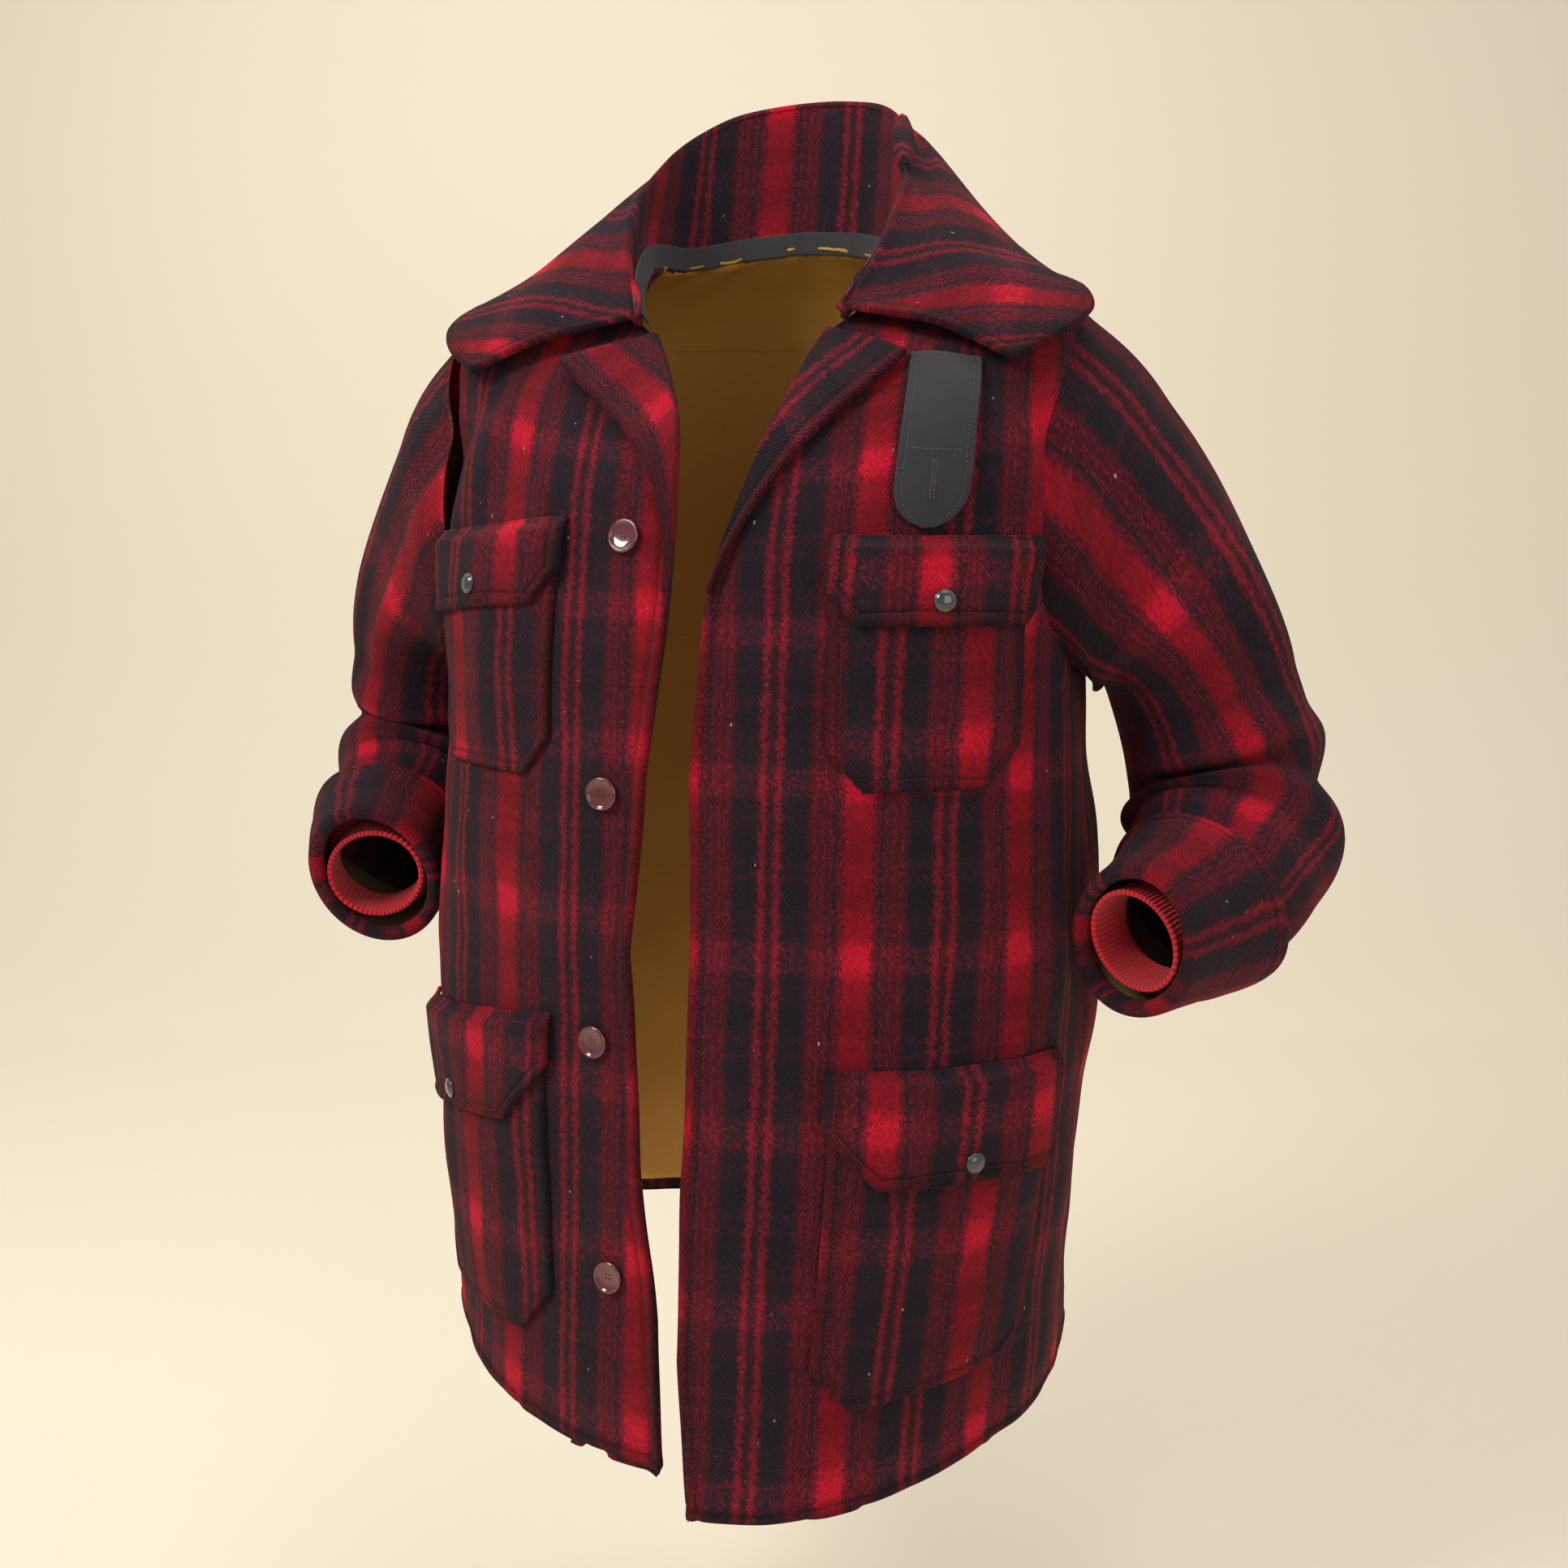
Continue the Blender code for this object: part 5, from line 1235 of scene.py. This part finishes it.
def make_buttonhole(name, place, way, along, length, finish, bar=True):
    """Worked buttonhole: two rows of close stitches across a slit, and a bar at its end."""
    along = unit(along - way * np.dot(along, way))
    across = np.cross(way, along)
    count = int(length / 0.0011)
    spots = np.linspace(-0.5, 0.5, count)[:, None] * length
    middle = place + along * spots
    near = middle + across * 0.0003
    far = middle + across * 0.0019
    rows = [(near, far), (middle - across * 0.0003, middle - across * 0.0019)]
    if bar:
        ends = np.linspace(-0.0018, 0.0018, 4)[:, None]
        start = place + along * (length / 2 + 0.0002) + across * ends
        rows.append((start, start + along * 0.0012))
    starts = np.concatenate([row[0] for row in rows])
    ends = np.concatenate([row[1] for row in rows])
    make_stitches(name, starts, ends, np.tile(way, (len(starts), 1)), 0.00042, finish)


def make_tab_sewing(inside, out_way):
    """Edge stitching of the throat tab, its zigzag buttonhole and the bar above that."""
    top = inside + out_way * TAB_THICK
    sew_round("throat_tab", top, out_way, ("first", "last"), 0.0042, 0.0030, "grey_thread")
    row = int(np.argmin(np.abs(top[:, 20, 2] - (TAB_BOTTOM_Z + 0.030))))
    place, way = top[row, 20], out_way[row, 20]
    down = unit(top[row + 3, 20] - top[row - 3, 20])
    make_buttonhole("throat_tab_buttonhole", place, way, -down, 0.024, "grey_thread")
    across = unit(top[row, 24] - top[row, 16])
    line = place - down * 0.020 + across * np.linspace(-0.017, 0.017, 24)[:, None]
    sewn_line("throat_tab_bar", line, np.tile(way, (24, 1)), "grey_thread", 0.0030)


def feed(tree, value, socket):
    """Links an output to a socket, or sets the socket to a value."""
    if isinstance(value, bpy.types.NodeSocket):
        tree.links.new(value, socket)
    else:
        socket.default_value = value


def sum_up(tree, operation, *values):
    """Output of a math node."""
    node = tree.nodes.new("ShaderNodeMath")
    node.operation = operation
    for number, value in enumerate(values):
        feed(tree, value, node.inputs[number])
    return node.outputs[0]


def blend_colour(tree, share, first, second, way="MIX"):
    """Output of a colour mix."""
    node = tree.nodes.new("ShaderNodeMix")
    node.data_type = "RGBA"
    node.blend_type = way
    feed(tree, share, node.inputs["Factor"])
    colours = [socket for socket in node.inputs if socket.type == "RGBA"]
    feed(tree, first, colours[0])
    feed(tree, second, colours[1])
    return [socket for socket in node.outputs if socket.type == "RGBA"][0]


def ramp(tree, value, stops):
    """Colour ramp through (place, colour) stops, or (place, grey) stops."""
    node = tree.nodes.new("ShaderNodeValToRGB")
    band = node.color_ramp
    for number, (place, shade) in enumerate(stops):
        point = band.elements[number] if number < 2 else band.elements.new(place)
        point.position = place
        colour = (shade, shade, shade) if np.isscalar(shade) else shade
        point.color = (*colour, 1.0)
    feed(tree, value, node.inputs["Fac"])
    return node.outputs["Color"]


def cloud(tree, place, scale, detail=2.0, rough=0.5, stretched=(1.0, 1.0, 1.0)):
    """Noise over the cloth's own metres, drawn out along one way of the weave."""
    mapping = tree.nodes.new("ShaderNodeMapping")
    mapping.inputs["Scale"].default_value = stretched
    tree.links.new(place, mapping.inputs["Vector"])
    node = tree.nodes.new("ShaderNodeTexNoise")
    node.inputs["Scale"].default_value = scale
    node.inputs["Detail"].default_value = detail
    node.inputs["Roughness"].default_value = rough
    tree.links.new(mapping.outputs[0], node.inputs["Vector"])
    return node.outputs["Fac"]


def start_finish(name, roughness, sheen=0.0, coat=0.0, specular=0.5, metallic=0.0):
    """Material with its shader's constants set on the sockets; gives tree, shader and cloth place."""
    made = bpy.data.materials.new(name)
    made.use_nodes = True
    tree = made.node_tree
    shader = tree.nodes["Principled BSDF"]
    shader.inputs["Roughness"].default_value = roughness
    shader.inputs["Metallic"].default_value = metallic
    shader.inputs["Specular IOR Level"].default_value = specular
    shader.inputs["Sheen Weight"].default_value = sheen
    shader.inputs["Sheen Roughness"].default_value = 0.55
    shader.inputs["Sheen Tint"].default_value = (1.0, 0.45, 0.45, 1.0)
    shader.inputs["Coat Weight"].default_value = coat
    shader.inputs["Coat Roughness"].default_value = 0.04
    cloth = tree.nodes.new("ShaderNodeUVMap")
    cloth.uv_map = "cloth"
    return made, tree, shader, cloth.outputs[0]


def raise_bump(tree, shader, height, depth, strength=1.0):
    """Fine relief of the weave, in metres."""
    bump = tree.nodes.new("ShaderNodeBump")
    bump.inputs["Strength"].default_value = strength
    bump.inputs["Distance"].default_value = depth
    feed(tree, height, bump.inputs["Height"])
    tree.links.new(bump.outputs["Normal"], shader.inputs["Normal"])


BRIGHT_RED = (0.52, 0.005, 0.025)
DEEP_RED = (0.095, 0.008, 0.020)
PIN_RED = (0.29, 0.012, 0.034)
INK = (0.0150, 0.0140, 0.0215)
STRIPE_STOPS = (
    (0.000, BRIGHT_RED), (0.150, BRIGHT_RED), (0.185, DEEP_RED), (0.205, PIN_RED),
    (0.225, DEEP_RED), (0.285, INK), (0.300, PIN_RED), (0.320, DEEP_RED), (0.380, DEEP_RED),
    (0.398, PIN_RED), (0.415, DEEP_RED), (0.465, DEEP_RED), (0.483, PIN_RED), (0.500, DEEP_RED),
    (0.545, DEEP_RED), (0.575, INK), (0.840, INK), (0.862, DEEP_RED), (0.895, PIN_RED),
    (0.930, PIN_RED), (0.955, DEEP_RED), (1.000, INK),
)
REPEAT = 0.120


def plaid_finish():
    """Red and black shadow plaid: one stripe chart for warp and weft, the warp showing most.

    m = |u| folded into half a repeat; colour = (1 - s) warp(m_u) + s weft(m_v) with s about 0.2,
    and the weft's lightness also brightens or darkens the warp; then the twill's diagonal rows
    and the brushed fibres over both.
    """
    made, tree, shader, place = start_finish("wool_plaid", 0.97, sheen=0.05, specular=0.15)
    parts = tree.nodes.new("ShaderNodeSeparateXYZ")
    tree.links.new(place, parts.inputs[0])
    sway = cloud(tree, place, 55.0, 2.0, 0.5, (1.0, 0.35, 1.0))
    shift = sum_up(tree, "MULTIPLY", sum_up(tree, "SUBTRACT", sway, 0.5), 0.0040)
    tangle = sum_up(tree, "MULTIPLY", sum_up(
        tree, "SUBTRACT", cloud(tree, place, 700.0, 1.0, 0.5), 0.5), 0.0016)
    slant = sum_up(tree, "MULTIPLY_ADD", parts.outputs[1], 0.45, parts.outputs[0])
    yarn = tree.nodes.new("ShaderNodeCombineXYZ")
    for number, (way, size) in enumerate(((slant, 0.0017), (parts.outputs[1], 0.0022))):
        number_of = sum_up(tree, "DIVIDE", sum_up(tree, "ADD", way, tangle), size)
        feed(tree, sum_up(tree, "FLOOR", number_of), yarn.inputs[number])
    chance = tree.nodes.new("ShaderNodeTexWhiteNoise")
    chance.noise_dimensions = "2D"
    tree.links.new(yarn.outputs[0], chance.inputs["Vector"])
    each = tree.nodes.new("ShaderNodeSeparateColor")
    tree.links.new(chance.outputs["Color"], each.inputs[0])
    stray = sum_up(tree, "SUBTRACT", each.outputs[0], 0.5)
    shift = sum_up(tree, "ADD", shift, sum_up(tree, "MULTIPLY", stray, 0.0036))
    u = sum_up(tree, "ADD", parts.outputs[0], shift)
    v = sum_up(tree, "ADD", parts.outputs[1], shift)
    half = REPEAT / 2
    chart = []
    for way in (u, v):
        folded = sum_up(tree, "DIVIDE", sum_up(tree, "PINGPONG", way, half), half)
        chart.append(ramp(tree, folded, STRIPE_STOPS))
    diagonal = sum_up(tree, "ADD", parts.outputs[0], sum_up(
        tree, "MULTIPLY", parts.outputs[1], 0.55))
    wobble = sum_up(tree, "MULTIPLY", cloud(tree, place, 260.0, 2.0, 0.6), 0.0022)
    diagonal = sum_up(tree, "ADD", diagonal, wobble)
    twill = sum_up(tree, "SINE", sum_up(tree, "MULTIPLY", diagonal, 2 * math.pi / 0.0024))
    twill = sum_up(tree, "MULTIPLY_ADD", twill, 0.5, 0.5)
    lumps = cloud(tree, place, 620.0, 3.0, 0.7, (0.55, 1.0, 1.0))
    speck = sum_up(tree, "MULTIPLY", sum_up(tree, "SUBTRACT", lumps, 0.5), 1.3)
    float_share = sum_up(tree, "POWER", each.outputs[1], 3.0)
    share = sum_up(tree, "MULTIPLY_ADD", float_share, 0.26, sum_up(
        tree, "MULTIPLY_ADD", twill, 0.03, 0.0))
    share = sum_up(tree, "ADD", share, sum_up(tree, "MULTIPLY", speck, 0.10))
    share = sum_up(tree, "MINIMUM", sum_up(tree, "MAXIMUM", share, 0.02), 0.6)
    colour = blend_colour(tree, share, chart[0], chart[1])
    folded = sum_up(tree, "DIVIDE", sum_up(tree, "PINGPONG", v, half), half)
    shadow = ramp(tree, folded, ((0.0, 1.0), (0.13, 0.90), (0.26, 0.52), (0.50, 0.44),
                                 (0.62, 0.33), (0.84, 0.33), (0.92, 0.42), (1.0, 0.36)))
    depth = sum_up(tree, "MULTIPLY_ADD", twill, 0.24, 0.80)
    depth = sum_up(tree, "ADD", depth, sum_up(tree, "MULTIPLY", speck, 0.80))
    depth = sum_up(tree, "ADD", depth, sum_up(tree, "MULTIPLY", sum_up(
        tree, "SUBTRACT", each.outputs[2], 0.5), 0.42))
    folded_u = sum_up(tree, "DIVIDE", sum_up(tree, "PINGPONG", u, half), half)
    is_red = ramp(tree, folded_u, ((0.0, 1.0), (0.15, 1.0), (0.21, 0.0), (1.0, 0.0)))
    quiet = sum_up(tree, "MULTIPLY_ADD", shadow, 0.34, 0.40)
    shadow = blend_colour(tree, is_red, quiet, shadow)
    lit = sum_up(tree, "MULTIPLY", sum_up(tree, "MAXIMUM", depth, 0.25), shadow)
    # Painted shade: the cloth's colour is darkened at the rolled edge and in the seam groove beside it, read
    # from the distance to the sewn edge.
    rim = tree.nodes.new("ShaderNodeUVMap")
    rim.uv_map = "edge"
    rim_parts = tree.nodes.new("ShaderNodeSeparateXYZ")
    tree.links.new(rim.outputs[0], rim_parts.inputs[0])
    edge_groove_shade = ramp(tree, sum_up(tree, "MULTIPLY", rim_parts.outputs[0], 50.0), (
        (0.0, 0.45), (0.16, 0.72), (0.30, 0.85), (0.40, 0.38), (0.48, 0.75), (0.62, 1.0)))
    lit = sum_up(tree, "MULTIPLY", lit, edge_groove_shade)
    shaded = tree.nodes.new("ShaderNodeVectorMath")
    shaded.operation = "SCALE"
    tree.links.new(colour, shaded.inputs[0])
    feed(tree, lit, shaded.inputs["Scale"])
    fuzz = cloud(tree, place, 1500.0, 3.0, 0.7)
    fuzz = ramp(tree, fuzz, ((0.0, 0.0), (0.56, 0.0), (0.72, 0.55), (1.0, 0.9)))
    fuzzy = blend_colour(tree, sum_up(tree, "MULTIPLY", fuzz, 0.20), shaded.outputs[0],
                         (0.46, 0.17, 0.18, 1.0))
    lint = cloud(tree, place, 210.0, 1.0, 0.4, (1.0, 0.6, 1.0))
    lint = ramp(tree, lint, ((0.0, 0.0), (0.795, 0.0), (0.815, 1.0), (1.0, 1.0)))
    finished = blend_colour(tree, sum_up(tree, "MULTIPLY", lint, 0.45), fuzzy,
                            (0.62, 0.56, 0.52, 1.0))
    tree.links.new(finished, shader.inputs["Base Color"])
    height = sum_up(tree, "ADD", sum_up(tree, "MULTIPLY", twill, 0.45), lumps)
    height = sum_up(tree, "ADD", height, sum_up(tree, "MULTIPLY", sway, 0.6))
    raise_bump(tree, shader, height, 0.0013, 1.0)
    return made


def woven_finish(name, colour, shade, pitch, roughness, sheen=0.0, depth=0.0003, slant=1.0):
    """Plain-coloured woven cloth: fine diagonal rows between two tones, with soft unevenness."""
    made, tree, shader, place = start_finish(name, roughness, sheen=sheen, specular=0.3)
    shader.inputs["Sheen Tint"].default_value = (1.0, 0.9, 0.8, 1.0)
    parts = tree.nodes.new("ShaderNodeSeparateXYZ")
    tree.links.new(place, parts.inputs[0])
    diagonal = sum_up(tree, "ADD", parts.outputs[0], sum_up(
        tree, "MULTIPLY", parts.outputs[1], slant))
    rows = sum_up(tree, "SINE", sum_up(tree, "MULTIPLY", diagonal, 2 * math.pi / pitch))
    rows = sum_up(tree, "MULTIPLY_ADD", rows, 0.5, 0.5)
    uneven = cloud(tree, place, 160.0, 3.0, 0.6)
    share = sum_up(tree, "MULTIPLY", sum_up(tree, "ADD", rows, uneven), 0.5)
    tree.links.new(blend_colour(tree, share, (*shade, 1.0), (*colour, 1.0)),
                   shader.inputs["Base Color"])
    raise_bump(tree, shader, sum_up(tree, "ADD", rows, uneven), depth)
    return made


def knit_finish():
    """Red rib knit: painted shade darkens it between the ribs and between the small stitches along each rib."""
    made, tree, shader, place = start_finish("red_rib_knit", 0.85, sheen=0.25, specular=0.25)
    parts = tree.nodes.new("ShaderNodeSeparateXYZ")
    tree.links.new(place, parts.inputs[0])
    ribs = sum_up(tree, "COSINE", sum_up(
        tree, "MULTIPLY", parts.outputs[0], 2 * math.pi * KNIT_RIBS / KNIT_ROUND))
    loops = sum_up(tree, "SINE", sum_up(tree, "MULTIPLY", parts.outputs[1], 2 * math.pi / 0.0026))
    # Painted shade: dark red in the hollows between the ribs and stitch rows, bright red on their crowns.
    share = sum_up(tree, "MULTIPLY_ADD", ribs, 0.36, 0.52)
    share = sum_up(tree, "ADD", share, sum_up(tree, "MULTIPLY", loops, 0.12))
    tree.links.new(blend_colour(tree, share, (0.20, 0.003, 0.008, 1.0), (0.66, 0.010, 0.022, 1.0)),
                   shader.inputs["Base Color"])
    raise_bump(tree, shader, sum_up(tree, "ADD", ribs, sum_up(
        tree, "MULTIPLY", loops, 0.35)), 0.0005)
    return made


def glossy_finish(name, colour, roughness, coat, metallic=0.0, clouded=0.25):
    """Smooth glossy finish with a faint cloudiness over the object's own metres."""
    made, tree, shader, _ = start_finish(name, roughness, coat=coat, metallic=metallic)
    place = tree.nodes.new("ShaderNodeTexCoord").outputs["Object"]
    tone = cloud(tree, place, 160.0, 2.0, 0.5)
    dark = tuple(part * (1 - clouded) for part in colour)
    tree.links.new(blend_colour(tree, tone, (*dark, 1.0), (*colour, 1.0)),
                   shader.inputs["Base Color"])
    return made


def thread_finish(name, colour):
    """Sewing thread."""
    made, tree, shader, _ = start_finish(name, 0.7, sheen=0.2, specular=0.3)
    place = tree.nodes.new("ShaderNodeTexCoord").outputs["Object"]
    tone = cloud(tree, place, 900.0, 1.0, 0.5)
    dark = tuple(part * 0.55 for part in colour)
    tree.links.new(blend_colour(tree, tone, (*dark, 1.0), (*colour, 1.0)),
                   shader.inputs["Base Color"])
    return made


KNIT_RIBS = 56
KNIT_ROUND = 0.226

FINISHES = {
    "plaid": plaid_finish(),
    "satin": woven_finish("mustard_satin", (0.56, 0.30, 0.055), (0.42, 0.21, 0.035), 0.0009, 0.42,
                          depth=0.0001),
    "lining_twill": woven_finish("olive_twill", (0.21, 0.155, 0.060), (0.09, 0.065, 0.028), 0.0022,
                                 0.6),
    "red_knit": knit_finish(),
    "tape": woven_finish("dark_cotton", (0.030, 0.031, 0.035), (0.014, 0.014, 0.017), 0.0010, 0.8,
                         sheen=0.1, depth=0.0002),
    "button_gloss": glossy_finish("button_gloss", (0.095, 0.004, 0.012), 0.12, 1.0),
    "snap_metal": glossy_finish("snap_enamel", (0.020, 0.020, 0.022), 0.22, 1.0),
    "dark_thread": thread_finish("dark_red_thread", (0.075, 0.010, 0.014)),
    "black_thread": thread_finish("black_thread", (0.012, 0.012, 0.014)),
    "grey_thread": thread_finish("grey_thread", (0.085, 0.085, 0.090)),
}


def aim(piece, place, target):
    """Puts a lamp or camera at a place, looking at a target."""
    piece.location = place
    way = np.array(target, float) - np.array(place, float)
    turn = math.atan2(way[1], way[0]) - math.pi / 2
    tilt = math.atan2(way[2], math.hypot(way[0], way[1])) + math.pi / 2
    piece.rotation_euler = (tilt, 0.0, turn)


def add_lamp(name, place, target, power, size, colour):
    """Soft square lamp."""
    lamp = bpy.data.lights.new(name, "AREA")
    lamp.energy = power
    lamp.shape = "SQUARE"
    lamp.size = size
    lamp.color = colour
    piece = bpy.data.objects.new(name, lamp)
    bpy.context.scene.collection.objects.link(piece)
    aim(piece, place, target)


def set_stage():
    """Pale floor that curves up into a backdrop, soft lamps and a weak grey surround."""
    deep = np.array([(-6.0, -1.16), (-2.0, -1.16), (1.2, -1.16), (1.9, -1.13), (2.4, -0.98),
                     (2.7, -0.70), (2.85, -0.2), (2.9, 0.8), (2.9, 4.0)])
    line = through(deep, np.linspace(0, 8, 97))
    wide = np.linspace(-6, 6, 13)
    points = np.zeros((len(line), len(wide), 3))
    points[..., 0] = wide[None, :]
    points[..., 1:] = line[:, None, :]
    index = np.arange(points.shape[0] * points.shape[1]).reshape(points.shape[:2])
    mesh = bpy.data.meshes.new("studio_floor")
    mesh.from_pydata(points.reshape(-1, 3).tolist(), [], corners(index).reshape(-1, 4).tolist())
    mesh.polygons.foreach_set("use_smooth", np.ones(len(mesh.polygons), dtype=bool))
    paper = bpy.data.materials.new("pale_paper")
    paper.use_nodes = True
    shader = paper.node_tree.nodes["Principled BSDF"]
    shader.inputs["Base Color"].default_value = (0.80, 0.73, 0.60, 1.0)
    shader.inputs["Roughness"].default_value = 0.95
    shader.inputs["Specular IOR Level"].default_value = 0.1
    mesh.materials.append(paper)
    floor = bpy.data.objects.new("studio_floor", mesh)
    floor.rotation_euler = (0.0, 0.0, CAMERA_TURN)
    bpy.context.scene.collection.objects.link(floor)
    middle = (0.0, -0.05, -0.40)
    add_lamp("key_lamp", (-1.5, -2.0, 1.7), middle, 66.0, 1.1, (1.0, 0.97, 0.93))
    add_lamp("fill_lamp", (2.4, -2.0, 0.5), middle, 24.0, 2.0, (1.0, 0.98, 0.96))
    add_lamp("top_lamp", (0.2, 0.4, 2.4), middle, 36.0, 2.0, (1.0, 0.98, 0.95))
    add_lamp("back_lamp", (-1.2, 0.6, 1.6), (0.0, 2.6, -0.4), 12.0, 1.6, (1.0, 0.98, 0.95))
    world = bpy.data.worlds.new("studio")
    world.use_nodes = True
    world.node_tree.nodes["Background"].inputs["Color"].default_value = (0.95, 0.93, 0.90, 1.0)
    world.node_tree.nodes["Background"].inputs["Strength"].default_value = 0.55
    bpy.context.scene.world = world


CAMERA_TURN = math.radians(18.54)


def set_camera():
    """Camera in front, a little to the wearer's left, above the middle and looking down."""
    camera = bpy.data.cameras.new("photo_camera")
    camera.lens = 36.6
    camera.sensor_width = 36.0
    camera.clip_end = 50.0
    camera.dof.use_dof = False
    piece = bpy.data.objects.new("photo_camera", camera)
    piece.location = (0.4043, -1.1849, -0.108)
    piece.rotation_euler = (math.radians(79.77), 0.0, CAMERA_TURN)
    bpy.context.scene.collection.objects.link(piece)
    bpy.context.scene.camera = piece


bpy.context.scene.view_settings.view_transform = "Standard"
make_back()
make_fronts()
make_lapels()
make_sleeves()
make_collar()
make_neck_binding()
make_pockets()
make_flaps()
make_buttons()
make_tab()
set_stage()
set_camera()
